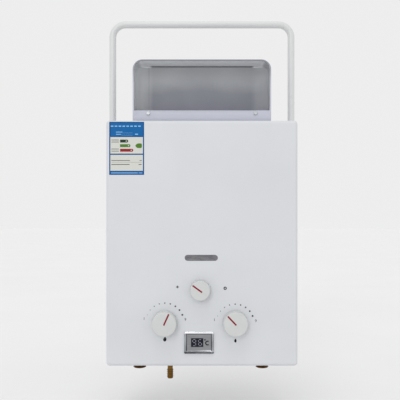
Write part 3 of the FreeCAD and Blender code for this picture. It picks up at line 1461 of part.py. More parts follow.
def make_water_valve_body():
    """Cast water valve: dish on the diaphragm, block behind it, bosses for spindle and inlet."""
    block = new_body("water_valve_body")
    dish = Profile(block, "YZ_Plane", lay.diaphragm_end)
    dish.many_sided(-d.train_out, d.control_z, d.dish_radius, 24)
    pad(block, dish, d.water_dish_width)
    low, high = d.control_z - d.water_block_half, d.control_z + d.water_block_half
    outline = Profile(block, "YZ_Plane", lay.water_dish_end)
    outline.box(-d.water_block_front, low, -d.water_block_back, high)
    pad(block, outline, d.water_block_right - lay.water_dish_end)
    inlet = Profile(block, "XY_Plane", d.inlet_boss_low)
    inlet.many_sided(d.cold_x, -d.pipe_out, d.inlet_boss, 12)
    pad(block, inlet, d.inlet_boss_high - d.inlet_boss_low)
    drain = Profile(block, "XY_Plane", low - d.drain_radius)
    drain.many_sided(d.drain_x, -d.drain_out, d.drain_radius + d.cover_sheet, 12)
    pad(block, drain, d.drain_radius + MARGIN)
    boss = Profile(block, "XZ_Plane", d.water_block_front)
    boss.many_sided(d.water_x, d.control_z, d.boss_radius, 16)
    pad(block, boss, lay.spindle_front - d.water_block_front)
    hollow = Profile(block, "YZ_Plane", lay.diaphragm_end - MARGIN)
    hollow.many_sided(-d.train_out, d.control_z, d.dish_cavity, 24)
    pocket(block, hollow, d.water_dish_width - d.dish_wall + MARGIN)
    spindle = Profile(block, "XZ_Plane", d.gas_body_front - d.spindle_depth)
    spindle.many_sided(d.water_x, d.control_z, around(d.spindle_radius + d.shaft_gap, 8), 8)
    pocket(block, spindle, d.spindle_depth + d.spindle_boss + MARGIN)


def make_diaphragm_screws():
    """Four screw heads on the diaphragm cover's flange."""
    screws = new_body("diaphragm_screws")
    heads = Profile(screws, "YZ_Plane", d.dish_x - d.screw_head_height)
    for i in range(4):
        angle = math.radians(45 + 90 * i)
        y = -d.train_out + d.dish_screw_circle * math.cos(angle)
        z = d.control_z + d.dish_screw_circle * math.sin(angle)
        heads.many_sided(y, z, d.screw_head, 6)
    pad(screws, heads, d.screw_head_height)


def make_solenoid():
    """Safety solenoid on the back of the gas valve."""
    coil = part_prism(0, 0, 0, UP, d.solenoid_radius, d.solenoid_length, 24)
    keep(coil, "solenoid_valve", d.solenoid_x, -d.gas_body_back, d.control_z, REAR)


def make_microswitch():
    """Micro switch over the linkage's open gap."""
    switch = new_body("microswitch")
    half = d.switch_width / 2
    case = Profile(switch, "XZ_Plane", d.train_out - half)
    case.box(d.switch_left, d.switch_low, d.switch_right, d.switch_high)
    pad(switch, case, d.switch_width)
    button = Profile(switch, "XZ_Plane", d.train_out - 1)
    button.box(d.switch_right - 5, d.switch_low - 1, d.switch_right - 2, d.switch_low + MARGIN)
    pad(switch, button, 2)
    tabs = Profile(switch, "XZ_Plane", d.train_out - 2)
    for x in (d.switch_left + 2, d.switch_left + 9, d.switch_left + 16):
        tabs.box(x, d.switch_high - MARGIN, x + 1, d.switch_high + 5)
    pad(switch, tabs, 4)


def make_switch_bracket():
    """Sheet arm from the gas valve that carries the switch and the lever's pivot."""
    bracket = new_body("switch_bracket")
    out = d.train_out - d.switch_width / 2
    low = d.control_z + d.boss_radius + d.move_gap
    flange = Profile(bracket, "YZ_Plane", d.gas_body_right)
    flange.box(-out - d.switch_width, low, -out + d.switch_plate, d.switch_high)
    pad(bracket, flange, d.switch_plate)
    arm = Profile(bracket, "XZ_Plane", out - d.switch_plate)
    arm.box(d.gas_body_right + d.switch_plate / 2, low, d.switch_right, d.switch_high)
    pad(bracket, arm, d.switch_plate)
    pivot = Profile(bracket, "XZ_Plane", out - d.switch_plate - MARGIN)
    pivot.many_sided(lay.lever_x - d.lever_sheet / 2, d.lever_pivot, around(d.lever_pin + d.shaft_gap, 8), 8)
    pocket(bracket, pivot, d.switch_plate + 2 * MARGIN)


def make_switch_lever():
    """Bell crank: the collar pushes its tip, its arm works the switch's button."""
    lever = new_body("switch_lever")
    out = d.train_out
    half = d.lever_width / 2
    left, right = lay.lever_x - d.lever_sheet, lay.lever_x
    arm_high = d.switch_low - 1 - d.sheet_gap
    outline = Profile(lever, "XZ_Plane", out - half)
    outline.polygon(
        [
            (left, d.lever_tip),
            (right, d.lever_tip),
            (right, arm_high - d.lever_sheet),
            (right + d.lever_arm, arm_high - d.lever_sheet),
            (right + d.lever_arm, arm_high),
            (left, arm_high),
        ]
    )
    pad(lever, outline, d.lever_width)
    pin = Profile(lever, "XZ_Plane", out - d.switch_width / 2 - d.switch_plate)
    pin.circle(lay.lever_x - d.lever_sheet / 2, d.lever_pivot, d.lever_pin)
    pad(lever, pin, d.switch_width / 2 + d.switch_plate)


# ---------------------------------------------------------------- connections


def make_water_fitting(label, x, top):
    """Half inch fitting: thread below, hexagon under the bottom plate, hollow shank above."""
    fitting = new_body(label)
    thread = Profile(fitting, "XY_Plane", lay.thread_low).circle(x, -d.pipe_out, d.thread_radius)
    pad(fitting, thread, d.thread_length)
    hexagon = Profile(fitting, "XY_Plane", d.flange_low).many_sided(x, -d.pipe_out, d.fitting_hex, 6)
    pad(fitting, hexagon, d.cover_sheet - d.flange_low)
    shank = Profile(fitting, "XY_Plane", d.flange_low).many_sided(x, -d.pipe_out, d.fitting_shank, 12)
    pad(fitting, shank, top - d.flange_low)
    bore = Profile(fitting, "XY_Plane", lay.thread_low - MARGIN)
    bore.many_sided(x, -d.pipe_out, d.fitting_bore, 12)
    pocket(fitting, bore, top - d.fitting_crown - lay.thread_low + MARGIN)


def make_strainer():
    """Gauze sleeve in the cold inlet."""
    sleeve = new_body("inlet_strainer")
    section = Profile(sleeve, "XY_Plane", d.strainer_low)
    radius = d.fitting_bore - d.shaft_gap
    section.many_sided(d.cold_x, -d.pipe_out, radius, 12)
    section.many_sided(d.cold_x, -d.pipe_out, radius - d.strainer_wall, 12)
    pad(sleeve, section, d.strainer_high - d.strainer_low)


def make_gas_barb():
    """Brass hose barb with a hexagon under the bottom plate and a shank up to the gas valve."""
    barb = new_body("gas_inlet_barb", d.gas_inlet_x, -d.gas_inlet_out)
    none = size(0)
    stem = Profile(barb, "XY_Plane", d.barb_tip).many_sided(none, none, d.barb_root, 12)
    pad(barb, stem, d.flange_low - d.barb_tip)
    crest = Profile(barb, "XY_Plane", d.barb_tip + d.barb_step).many_sided(none, none, d.barb_radius, 12)
    ridge = pad(barb, crest, d.barb_pitch - 2 * d.barb_step)
    doc.recompute()
    repeat(barb, [ridge], "Z_Axis", d.barb_pitch, d.barb_count)
    shank = Profile(barb, "XY_Plane", d.flange_low).many_sided(none, none, d.gas_shank, 12)
    pad(barb, shank, d.gas_body_low - d.flange_low)
    hexagon = Profile(barb, "XY_Plane", d.flange_low).many_sided(none, none, d.gas_flange, 6)
    pad(barb, hexagon, d.cover_sheet - d.flange_low)
    bore = Profile(barb, "XY_Plane", d.barb_tip - MARGIN).many_sided(none, none, d.barb_bore, 8)
    pocket(barb, bore, d.gas_body_low - d.fitting_crown - d.barb_tip + MARGIN)


def make_drain_plug():
    """Drain plug under the water valve, with a grip below the bottom plate."""
    plug = new_body("drain_plug")
    top = d.control_z - d.water_block_half - d.drain_radius
    stem = Profile(plug, "XY_Plane", d.drain_head_low).many_sided(d.drain_x, -d.drain_out, d.drain_radius, 12)
    pad(plug, stem, top - d.drain_head_low)
    grip = Profile(plug, "XY_Plane", d.drain_head_low).many_sided(d.drain_x, -d.drain_out, d.drain_head, 8)
    pad(plug, grip, d.cover_sheet - d.sheet_gap - d.drain_head_low)


# ---------------------------------------------------------------- controls


def make_spindle(label, x, z, inner_out, radius, proud):
    """Control spindle from its valve to the inside of its knob."""
    top = d.case_depth + d.knob_gap + d.spindle_grip
    spindle = part_cylinder(0, 0, 0, UP, radius, top - inner_out)
    keep(spindle, label, x, -inner_out, z, FRONT)


def make_knob(label, x, z, angle, radius, proud, bore, tail):
    """Tapered knob with a bevelled face, a groove for the pointer and a blind bore for its spindle."""
    turn = FRONT.multiply(Rotation(Vector(0, 0, 1), angle.value))
    knob = new_body(label, x, -(d.case_depth + d.knob_gap), z, turn)
    height = proud - d.knob_gap
    face = radius - d.knob_taper
    none = size(0)
    outline = Profile(knob, "XY_Plane").many_sided(none, none, radius, KNOB_SIDES)
    barrel = pad(knob, outline, height)
    doc.recompute()
    sides = [f"Face{i}" for i, wall in enumerate(barrel.Shape.Faces, start=1) if abs(wall.normalAt(0, 0).z) < 0.5]
    taper = knob.newObject("PartDesign::Draft", "Draft")
    taper.Base = (barrel, sides)
    taper.NeutralPlane = (origin_feature(knob, "XY_Plane"), [""])
    taper.Angle = math.degrees(math.atan(d.knob_taper.value / height.value))
    taper.setExpression("Angle", f"atan({d.knob_taper.text} / {height.text})")
    bevel(knob, d.knob_edge, lambda edge: edge.BoundBox.ZMin > height.value - MARGIN / 10)
    socket = Profile(knob, "XY_Plane", -MARGIN).many_sided(none, none, around(bore, 12), 12)
    pocket(knob, socket, d.spindle_grip + d.shaft_gap + MARGIN)
    groove = Profile(knob, "XY_Plane", height - d.pointer_depth)
    half = d.pointer_width / 2
    groove.box(-tail, -half, face - d.knob_edge - MARGIN, half)
    pocket(knob, groove, d.pointer_depth + MARGIN)


def make_controls():
    """Gas, water and season controls: a knob and a spindle each."""
    depth = d.gas_body_front - d.spindle_depth + d.sheet_gap
    make_spindle("gas_spindle", d.gas_x, d.control_z, depth, d.spindle_radius, d.knob_proud)
    make_spindle("water_spindle", d.water_x, d.control_z, depth, d.spindle_radius, d.knob_proud)
    season_depth = d.manifold_out + 2 + d.sheet_gap
    make_spindle(
        "season_spindle", d.season_x, d.season_z, season_depth, d.season_spindle_radius, d.season_knob_proud
    )
    bore = d.spindle_radius + d.shaft_gap
    make_knob(
        "gas_knob", d.gas_x, d.control_z, d.gas_pointer, d.knob_radius, d.knob_proud, bore, size(0)
    )
    make_knob(
        "water_knob", d.water_x, d.control_z, d.water_pointer, d.knob_radius, d.knob_proud, bore, size(0)
    )
    make_knob(
        "season_knob",
        d.season_x,
        d.season_z,
        d.season_pointer,
        d.season_knob_radius,
        d.season_knob_proud,
        d.season_spindle_radius + d.shaft_gap,
        d.pointer_tail,
    )


# ---------------------------------------------------------------- display


def make_display():
    """Bezel with a collar through the cover, window, and the housing clipped on behind."""
    x, z = d.display_x, d.display_z
    half_width, half_height = d.bezel_width / 2, d.bezel_height / 2
    window_width, window_height = half_width - d.bezel_rim, half_height - d.bezel_rim
    collar_width, collar_height = window_width + d.collar_wall, window_height + d.collar_wall

    def centred(profile, width, height, corner=None):
        if corner is None:
            return profile.box(x - width, z - height, x + width, z + height)
        return profile.polygon(cornered(x - width, z - height, x + width, z + height, corner, corner, 1))

    bezel = new_body("display_bezel")
    back = d.case_depth - d.bezel_collar
    rim = centred(Profile(bezel, "XZ_Plane", d.case_depth), half_width, half_height, d.bezel_corner)
    pad(bezel, rim, d.bezel_proud)
    pad(bezel, centred(Profile(bezel, "XZ_Plane", back), collar_width, collar_height), d.bezel_collar)
    window = centred(Profile(bezel, "XZ_Plane", back - MARGIN), window_width, window_height)
    pocket(bezel, window, d.bezel_collar + d.bezel_proud + 2 * MARGIN)
    panel = new_body("display_panel")
    panel_back = d.case_depth + d.bezel_proud - d.panel_sink - d.panel_sheet
    gap = d.shaft_gap
    face = centred(Profile(panel, "XZ_Plane", panel_back), window_width - gap, window_height - gap)
    pad(panel, face, d.panel_sheet)
    housing = new_body("display_housing")
    width, height = collar_width + d.housing_lap, collar_height + d.housing_lap
    pad(housing, centred(Profile(housing, "XZ_Plane", back - d.housing_depth), width, height), d.housing_depth)
    hollow = centred(Profile(housing, "XZ_Plane", back - d.housing_depth + 2), window_width, window_height)
    pocket(housing, hollow, d.housing_depth)


# ---------------------------------------------------------------- battery box and electrics


def make_battery_box():
    """Plastic box on the bottom plate, open below for two D cells."""
    box = new_body("battery_box")
    half = lay.box_half + d.box_wall
    top = lay.box_ceiling + d.box_wall
    outline = Profile(box, "XY_Plane", lay.tray_low)
    outline.box(d.box_x - half, -lay.box_front_inside - d.box_wall, d.box_x + half, -d.box_back)
    pad(box, outline, top - lay.tray_low)
    inside = Profile(box, "XY_Plane", lay.tray_low - MARGIN)
    inside.box(d.box_x - lay.box_half, -lay.box_front_inside, d.box_x + lay.box_half, -lay.box_back_inside)
    pocket(box, inside, lay.box_ceiling - lay.tray_low + MARGIN)


def cell_places():
    return [d.box_x - lay.cell_pitch / 2, d.box_x + lay.cell_pitch / 2]


def make_battery_cells():
    """Two D cells, nubs up."""
    cells = new_body("battery_cells")
    can = Profile(cells, "XY_Plane", lay.cell_low)
    nub = Profile(cells, "XY_Plane", lay.cell_top - d.cell_nub_height)
    for x in cell_places():
        can.many_sided(x, -lay.cell_out, d.cell_radius, 20)
        nub.many_sided(x, -lay.cell_out, d.cell_nub, 8)
    pad(cells, can, d.cell_length - d.cell_nub_height)
    pad(cells, nub, d.cell_nub_height)


def make_battery_contacts():
    """Contact strips in the ceiling of the battery box."""
    contacts = new_body("battery_contacts")
    strips = Profile(contacts, "XY_Plane", lay.cell_top)
    half = d.contact_width / 2
    for x in cell_places():
        strips.box(x - half, -lay.cell_out - 2 * half, x + half, -lay.cell_out + 2 * half)
    pad(contacts, strips, d.contact_sheet)


def make_battery_lid():
    """Lid under the bottom plate, hinged at its front edge on moulded trunnions."""
    lid = new_body("battery_lid")
    half = lay.box_half + d.lid_lap
    low = lay.lid_top - d.lid_sheet
    front = -lay.box_front_inside - d.lid_lap + MARGIN
    plate = Profile(lid, "XY_Plane", low)
    plate.box(d.box_x - half, front, d.box_x + half, -lay.box_back_inside + d.lid_lap)
    pad(lid, plate, d.lid_sheet)
    arm_half = d.hinge_length / 2
    knuckle = Profile(lid, "YZ_Plane", d.box_x - arm_half)
    knuckle.polygon(
        [
            (-lay.hinge_out - d.hinge_knuckle, lay.hinge_z),
            (-lay.hinge_out - d.hinge_knuckle / 2, lay.hinge_z - d.hinge_knuckle),
            (-lay.hinge_out + d.hinge_knuckle, lay.hinge_z - d.hinge_knuckle),
            (front + MARGIN, low),
            (front + MARGIN, lay.hinge_z + d.hinge_knuckle),
            (-lay.hinge_out - d.hinge_knuckle / 2, lay.hinge_z + d.hinge_knuckle),
        ]
    )
    pad(lid, knuckle, d.hinge_length)
    reach = d.hinge_length / 2 + d.move_gap + d.ear_width
    pin = Profile(lid, "YZ_Plane", d.box_x - reach).circle(-lay.hinge_out, lay.hinge_z, d.hinge_pin)
    pad(lid, pin, 2 * reach)


def make_ignition_module():
    """Pulse igniter on the back plate's right side, with bevelled edges."""
    module = new_body("ignition_module")
    right = lay.module_right
    left = right - d.module_width
    back, front = -d.plate_sheet, -d.plate_sheet - d.module_depth
    bevel = d.module_edge
    outline = Profile(module, "XY_Plane", d.module_low)
    outline.polygon(
        [
            (left, back),
            (left, front + bevel),
            (left + bevel, front),
            (right - bevel, front),
            (right, front + bevel),
            (right, back),
        ]
    )
    pad(module, outline, d.module_height)


def make_ignition_lead():
    """High voltage lead from the module round the front to the spark electrode."""
    start_x = lay.module_right - d.module_width / 2
    start_z = d.module_low + d.lead_rise
    start_out = d.plate_sheet + d.module_depth
    end_out = lay.chamber_front + d.electrode_tail
    points = [
        (start_x, -start_out, start_z),
        (start_x, -d.lead_out, start_z),
        (d.spark_x, -d.lead_out, d.electrode_z),
        (d.spark_x, -end_out, d.electrode_z),
    ]
    tube_part("ignition_lead", points, d.lead_radius, d.lead_bend, d.lead_sides)


def make_everything():
    make_front_cover()
    make_back_plate()
    make_bottom_plate()
    make_screws()
    make_sight_glass()
    make_handle()
    make_handle_bolts()
    make_handle_bushes()
    make_rain_cap()
    make_flue_hood()
    make_combustion_chamber()
    make_fin_stack()
    make_fin_tubes()
    make_return_headers()
    make_chamber_coil()
    make_pipes()
    make_exchanger_brackets()
    make_thermostat()
    make_burner_frame()
    make_burner_bars()
    make_gas_manifold()
    make_gas_nozzles()
    make_electrode("spark_electrode", d.spark_x)
    make_electrode("flame_probe", d.probe_x)
    make_electrode_bracket()
    make_gas_valve_body()
    make_gas_end_cap()
    make_gas_valve_disc()
    make_linkage_rod()
    make_diaphragm_plate()
    make_diaphragm()
    make_diaphragm_cover()
    make_water_valve_body()
    make_diaphragm_screws()
    make_solenoid()
    make_microswitch()
    make_switch_bracket()
    make_switch_lever()
    make_water_fitting("hot_outlet", -lay.coil_side, d.hot_top)
    make_water_fitting("cold_inlet", d.cold_x, d.inlet_boss_low)
    make_strainer()
    make_gas_barb()
    make_drain_plug()
    make_controls()
    make_display()
    make_battery_box()
    make_battery_cells()
    make_battery_contacts()
    make_battery_lid()
    make_ignition_module()
    make_ignition_lead()


def check_and_export():
    """Stop on any failed object, then write one STEP file for each sub-part."""
    doc.recompute()
    for item in doc.Objects:
        if "Invalid" in item.State or "Error" in item.State:
            raise RuntimeError(f"{item.Name} ({item.Label}) failed: {item.State}")
    for item in subparts:
        shape = item.Shape
        if shape.isNull() or not shape.isValid() or not shape.Solids:
            raise RuntimeError(f"{item.Label} has no valid solid")
    os.makedirs("parts", exist_ok=True)
    for item in subparts:
        item.Shape.exportStep(f"parts/{item.Label}.step")
        box = item.Shape.BoundBox
        spans = " ".join(f"{low:.1f}..{high:.1f}" for low, high in
                         ((box.XMin, box.XMax), (box.YMin, box.YMax), (box.ZMin, box.ZMax)))
        print(f"{item.Label}: {len(item.Shape.Solids)} solids, {item.Shape.Volume:.0f} mm3, {spans}")
    print(f"{len(subparts)} sub-parts")


make_everything()
check_and_export()
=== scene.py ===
import json
import math

import bmesh
import bpy
import numpy as np
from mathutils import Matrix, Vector


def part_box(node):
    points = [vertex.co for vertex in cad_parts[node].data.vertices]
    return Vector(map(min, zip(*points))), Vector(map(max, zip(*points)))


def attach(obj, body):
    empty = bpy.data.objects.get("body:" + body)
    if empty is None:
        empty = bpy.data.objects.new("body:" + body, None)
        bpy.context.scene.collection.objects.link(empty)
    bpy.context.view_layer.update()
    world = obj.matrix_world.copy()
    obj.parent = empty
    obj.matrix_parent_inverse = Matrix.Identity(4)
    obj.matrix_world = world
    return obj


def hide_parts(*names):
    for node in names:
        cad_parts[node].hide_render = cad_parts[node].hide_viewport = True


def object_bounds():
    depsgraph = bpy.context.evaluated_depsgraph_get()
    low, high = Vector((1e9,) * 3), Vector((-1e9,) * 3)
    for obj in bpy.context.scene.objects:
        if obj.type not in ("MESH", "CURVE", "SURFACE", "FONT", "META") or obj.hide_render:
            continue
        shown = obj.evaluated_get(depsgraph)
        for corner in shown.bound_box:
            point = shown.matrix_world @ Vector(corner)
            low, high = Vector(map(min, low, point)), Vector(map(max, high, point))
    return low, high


bl_info = {
    "name": "Portable water heater",
    "version": (1, 0, 0),
    "blender": (4, 5, 0),
    "location": "3D View > Sidebar > Water heater",
    "description": "Dresses the solid model of a portable propane water heater with finished surfaces",
    "category": "Mesh",
}

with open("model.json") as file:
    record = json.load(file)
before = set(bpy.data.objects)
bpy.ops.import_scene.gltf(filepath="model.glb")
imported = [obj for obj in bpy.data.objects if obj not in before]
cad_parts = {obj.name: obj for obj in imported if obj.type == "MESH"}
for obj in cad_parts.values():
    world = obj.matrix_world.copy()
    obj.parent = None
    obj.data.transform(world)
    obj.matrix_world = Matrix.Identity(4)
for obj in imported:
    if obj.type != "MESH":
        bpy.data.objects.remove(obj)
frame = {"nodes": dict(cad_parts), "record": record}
cad_low, cad_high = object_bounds()
MM = 0.001
WELD = 1e-6  # points closer than this are one
CAP_OPENING = 0.025  # from the rain cap's foot to the lower edge of its opening
INLAY = 0.00008  # how far a knob's pointer stands proud of its face
FILM = 0.00005  # half the thickness of the printing


def middle(node):
    """Centre of a node's box and half its three spans, as arrays in metres."""
    low, high = (np.array(corner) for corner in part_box(node))
    return (low + high) / 2, (high - low) / 2


CASE_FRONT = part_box("front_cover")[0].y
CASE_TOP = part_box("front_cover")[1].z
CASE_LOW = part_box("front_cover")[0].z
GAS_KNOB, WATER_KNOB = middle("gas_knob")[0], middle("water_knob")[0]


# ---------------------------------------------------------------- sizes and colours


def linear(*shown):
    """A colour as it looks on a screen, 0 to 255 for each part, as linear light with full opacity: a part p
    is ((p + 0.055) / 1.055) to the power 2.4, or p / 12.92 where it is very dark."""
    shown = np.array(shown) / 255
    return tuple(np.where(shown <= 0.04045, shown / 12.92, ((shown + 0.055) / 1.055) ** 2.4)) + (1.0,)


def length(name, description, default):
    """A size in metres that a user may change."""
    return bpy.props.FloatProperty(
        name=name, description=description, default=default, min=0, subtype="DISTANCE", unit="LENGTH"
    )


def paint(name, description, *shown):
    """A colour that a user may change, given as it looks on a screen and kept as linear light."""
    return bpy.props.FloatVectorProperty(
        name=name, description=description, default=linear(*shown)[:3], size=3, min=0, max=1, subtype="COLOR"
    )


class HeaterSizes(bpy.types.PropertyGroup):
    """Sizes of the surfaces that the solids don't give"""

    handle_bend: length("Handle bend", "Radius of the carry handle's bends on its centre line", 0.022)
    cap_hem: length("Cap lip", "Width of the lip round the rain cap's opening", 0.0025)
    cap_shoulder: length("Cap shoulder", "Radius of the rain cap's top corners", 0.016)
    cap_rear: length("Cap rear corner", "Radius of the rain cap's rear corners", 0.025)
    knob_edge: length("Knob edge", "Rounding of a knob's face", 0.0019)
    knob_taper: length("Knob taper", "How much narrower a knob's face is than its foot", 0.0005)
    pointer_width: length("Pointer width", "Width of the pointer let into a knob", 0.0024)
    season_tail: length("Season pointer tail", "How far the small knob's pointer passes its centre", 0.0037)
    dial_radius: length("Dial radius", "Radius of the arc of dots round a large knob", 0.029)
    dot_small: length("Smallest dot", "Diameter of a dial's first dot", 0.0010)
    dot_large: length("Largest dot", "Diameter of a dial's last dot", 0.0028)
    digit_height: length("Digit height", "Height of a digit on the display", 0.0095)
    thread_pitch: length("Thread pitch", "Pitch of the water fittings' pipe thread", 0.001814)
    tube_radius: length("Tube radius", "Corner radius of the solids that the water tubes replace", 0.005)
    fin_pitch: length("Fin pitch", "Distance between two fins of the heat exchanger", 0.0055)


class HeaterColours(bpy.types.PropertyGroup):
    """Colours of the heater's own finishes"""

    case: paint("Case", "Powder coat of the casing", 209, 211, 215)
    cap: paint("Rain cap", "Satin coat of the rain cap", 186, 189, 201)
    handle: paint("Handle", "Powder coat of the carry handle", 212, 213, 213)
    knob: paint("Knobs", "Moulded knobs", 199, 202, 200)
    pointer: paint("Pointers", "Pointers let into the knobs", 132, 20, 46)
    ink: paint("Printing", "Ink of the dials and signs", 14, 14, 18)
    label: paint("Label", "Ground of the label on the casing", 4, 78, 134)
    heading: paint("Label heading", "Heading field of the label", 10, 96, 160)
    paper: paint("Label panels", "Pale panels of the label", 206, 207, 201)
    brass: paint("Brass", "Turned brass fittings", 127, 95, 49)
    copper: paint("Copper", "Heat exchanger and water tubes", 196, 118, 84)


def sizes():
    """The sizes as they are set in the scene."""
    return bpy.context.scene.heater_sizes


def colours():
    """The colours as they are set in the scene."""
    return bpy.context.scene.heater_colours


# ---------------------------------------------------------------- surfaces as arrays

# The first two axes of a piece laid down with its third axis facing that way.
FACINGS = {
    "up": ((1, 0, 0), (0, 1, 0)),
    "down": ((1, 0, 0), (0, -1, 0)),
    "front": ((1, 0, 0), (0, 0, 1)),
    "right": ((0, 1, 0), (0, 0, 1)),
    "left": ((0, -1, 0), (0, 0, 1)),
}
OFF_AXIS = np.array([0.31, 0.83, 0.47])  # a direction that no tube runs along


def quads(rows, columns, wrap_rows=False, wrap_columns=False):
    """Corner numbers of a grid's quads: each joins a point to its neighbours in the next row and column,
    and the last row or column joins the first where the grid wraps."""
    i = np.arange(rows if wrap_rows else rows - 1)[:, None]
    j = np.arange(columns if wrap_columns else columns - 1)[None, :]
    down, across = (i + 1) % rows, (j + 1) % columns
    corners = [i * columns + j, down * columns + j, down * columns + across, i * columns + across]
    return np.stack(corners, -1).reshape(-1, 4)


def joined(shapes):
    """Several (points, faces) as one, with the later face numbers moved up."""
    points, faces, start = [], [], 0
    for some_points, some_faces in shapes:
        points.append(some_points)
        faces.extend([[int(corner) + start for corner in face] for face in some_faces])
        start += len(some_points)
    return np.concatenate(points), faces


def set_down(points, where, facing="up", turn=0.0):
    """Local points turned about their third axis, then that axis laid along the facing, then moved."""
    first, second = (np.array(axis, float) for axis in FACINGS[facing])
    third = np.cross(first, second)
    c, s = math.cos(turn), math.sin(turn)
    u = points[:, 0] * c - points[:, 1] * s
    v = points[:, 0] * s + points[:, 1] * c
    return np.array(where, float) + u[:, None] * first + v[:, None] * second + points[:, 2:3] * third


def softened(corners, reach, steps=4, closed=False):
    """A line through corners with each corner replaced by a quadratic curve, (1-t)^2 a + 2t(1-t) b + t^2 c,
    from a point `reach` before the corner b to one as far after it."""
    corners = np.asarray(corners, float)
    reach = np.broadcast_to(reach, len(corners))[:, None]

    def towards(others):
        """The corners moved by the reach towards the others, at most half of the way."""
        gap = others - corners
        span = np.linalg.norm(gap, axis=1, keepdims=True)
        return corners + gap / np.maximum(span, 1e-12) * np.minimum(reach, span / 2)

    start, end = towards(np.roll(corners, 1, 0)), towards(np.roll(corners, -1, 0))
    t = np.linspace(0, 1, steps + 1)[None, :, None]
    curve = (1 - t) ** 2 * start[:, None] + 2 * t * (1 - t) * corners[:, None] + t**2 * end[:, None]
    line = curve.reshape(-1, corners.shape[1])
    if closed:
        return line
    return np.concatenate([corners[:1], line[steps + 1 : -steps - 1], corners[-1:]])


def turned(profile, sides, swell=None):
    """A profile of (radius, height) turned round the third axis: (r cos a, r sin a, h). `swell` may
    change the radius from the angle, the height and the profile's own radius."""
    profile = np.asarray(profile, float)
    angle = np.linspace(0, 2 * math.pi, sides, endpoint=False)[None, :]
    radius, height = profile[:, :1] + 0 * angle, profile[:, 1:] + 0 * angle
    if swell is not None:
        radius = swell(angle, height, radius)
    points = np.stack([radius * np.cos(angle), radius * np.sin(angle), height], -1).reshape(-1, 3)
    return points, quads(len(profile), sides, wrap_columns=True)


def tube(path, radius, sides):
    """A round section carried along a path: each point p with its heading t gets a ring of
    p + r (cos a n + sin a b), n and b square to t. The ends close in a point."""
    path = np.asarray(path, float)
    heading = np.gradient(path, axis=0)
    heading /= np.linalg.norm(heading, axis=1, keepdims=True)
    radius = np.broadcast_to(radius, len(path)).astype(float)
    path = np.concatenate([path[:1], path, path[-1:]])
    heading = np.concatenate([heading[:1], heading, heading[-1:]])
    radius = np.concatenate([[0.0], radius, [0.0]])
    normal = np.cross(heading, OFF_AXIS)
    normal /= np.linalg.norm(normal, axis=1, keepdims=True)
    other = np.cross(heading, normal)
    angle = np.linspace(0, 2 * math.pi, sides, endpoint=False)[None, :, None]
    ring = np.cos(angle) * normal[:, None] + np.sin(angle) * other[:, None]
    points = path[:, None] + radius[:, None, None] * ring
    return points.reshape(-1, 3), quads(len(path), sides, wrap_columns=True)


def rectangle(half_width, half_height, corner, steps=5):
    """Points round a rectangle whose corners are quarter circles: centre plus radius times
    (cos a, sin a), a quarter turn at each corner in turn."""
    angle = np.radians(np.linspace(0, 90, steps + 1))[None, :] + np.radians([0, 90, 180, 270])[:, None]
    side_x = np.array([1, -1, -1, 1])[:, None] * (half_width - corner)
    side_y = np.array([1, 1, -1, -1])[:, None] * (half_height - corner)
    return np.stack([side_x + corner * np.cos(angle), side_y + corner * np.sin(angle)], -1).reshape(-1, 2)


def rings(levels):
    """Outlines with the same number of points stacked at their heights: grid of (x, y, height)."""
    points = [np.column_stack([outline, np.full(len(outline), height)]) for outline, height in levels]
    return np.concatenate(points), quads(len(levels), len(levels[0][0]), wrap_columns=True)


def plate(outline, low, high):
    """A flat closed plate: the outline at two heights, a wall between and a face on each."""
    count = len(outline)
    points, walls = rings([(outline, low), (outline, high)])
    return points, walls.tolist() + [list(range(count))[::-1], list(range(count, 2 * count))]


def band(outer, inner, low, high):
    """A flat closed ring between two outlines with the same number of points, wrapped on itself."""
    points, _ = rings([(outer, low), (outer, high), (inner, high), (inner, low)])
    return points, quads(4, len(outer), wrap_rows=True, wrap_columns=True)


def polygon(radius, sides):
    """Points round a circle: the radius times (cos a, sin a), at equal angles."""
    angle = np.linspace(0, 2 * math.pi, sides, endpoint=False)
    return radius * np.column_stack([np.cos(angle), np.sin(angle)])


def piece(name, shape, material, body, replaced=(), crease=35, bevel=0.0):
    """Makes a mesh object at the origin from (points, faces) and hands it to its body and slot. Edges
    sharper than the crease, in degrees, stay sharp, or are bevelled where a bevel is given."""
    points, faces = shape
    mesh = bpy.data.meshes.new(name)
    mesh.from_pydata(np.asarray(points).tolist(), [], [[int(c) for c in face] for face in faces])
    work = bmesh.new()
    work.from_mesh(mesh)
    bmesh.ops.remove_doubles(work, verts=work.verts, dist=WELD)
    bmesh.ops.dissolve_degenerate(work, edges=work.edges, dist=WELD)
    bmesh.ops.recalc_face_normals(work, faces=work.faces)
    if bevel:
        limit = math.radians(crease)
        sharp = [edge for edge in work.edges if edge.is_manifold and edge.calc_face_angle() > limit]
        bmesh.ops.bevel(
            work, geom=sharp, offset=bevel, segments=2, profile=0.5, affect="EDGES", clamp_overlap=True
        )
    work.to_mesh(mesh)
    work.free()
    mesh.polygons.foreach_set("use_smooth", [True] * len(mesh.polygons))
    mesh.set_sharp_from_angle(angle=math.radians(crease))
    mesh.materials.append(material)
    thing = bpy.data.objects.new(name, mesh)
    bpy.context.scene.collection.objects.link(thing)
    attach(thing, body)
    if replaced:
        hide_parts(*replaced)
    return thing


# ---------------------------------------------------------------- finishes


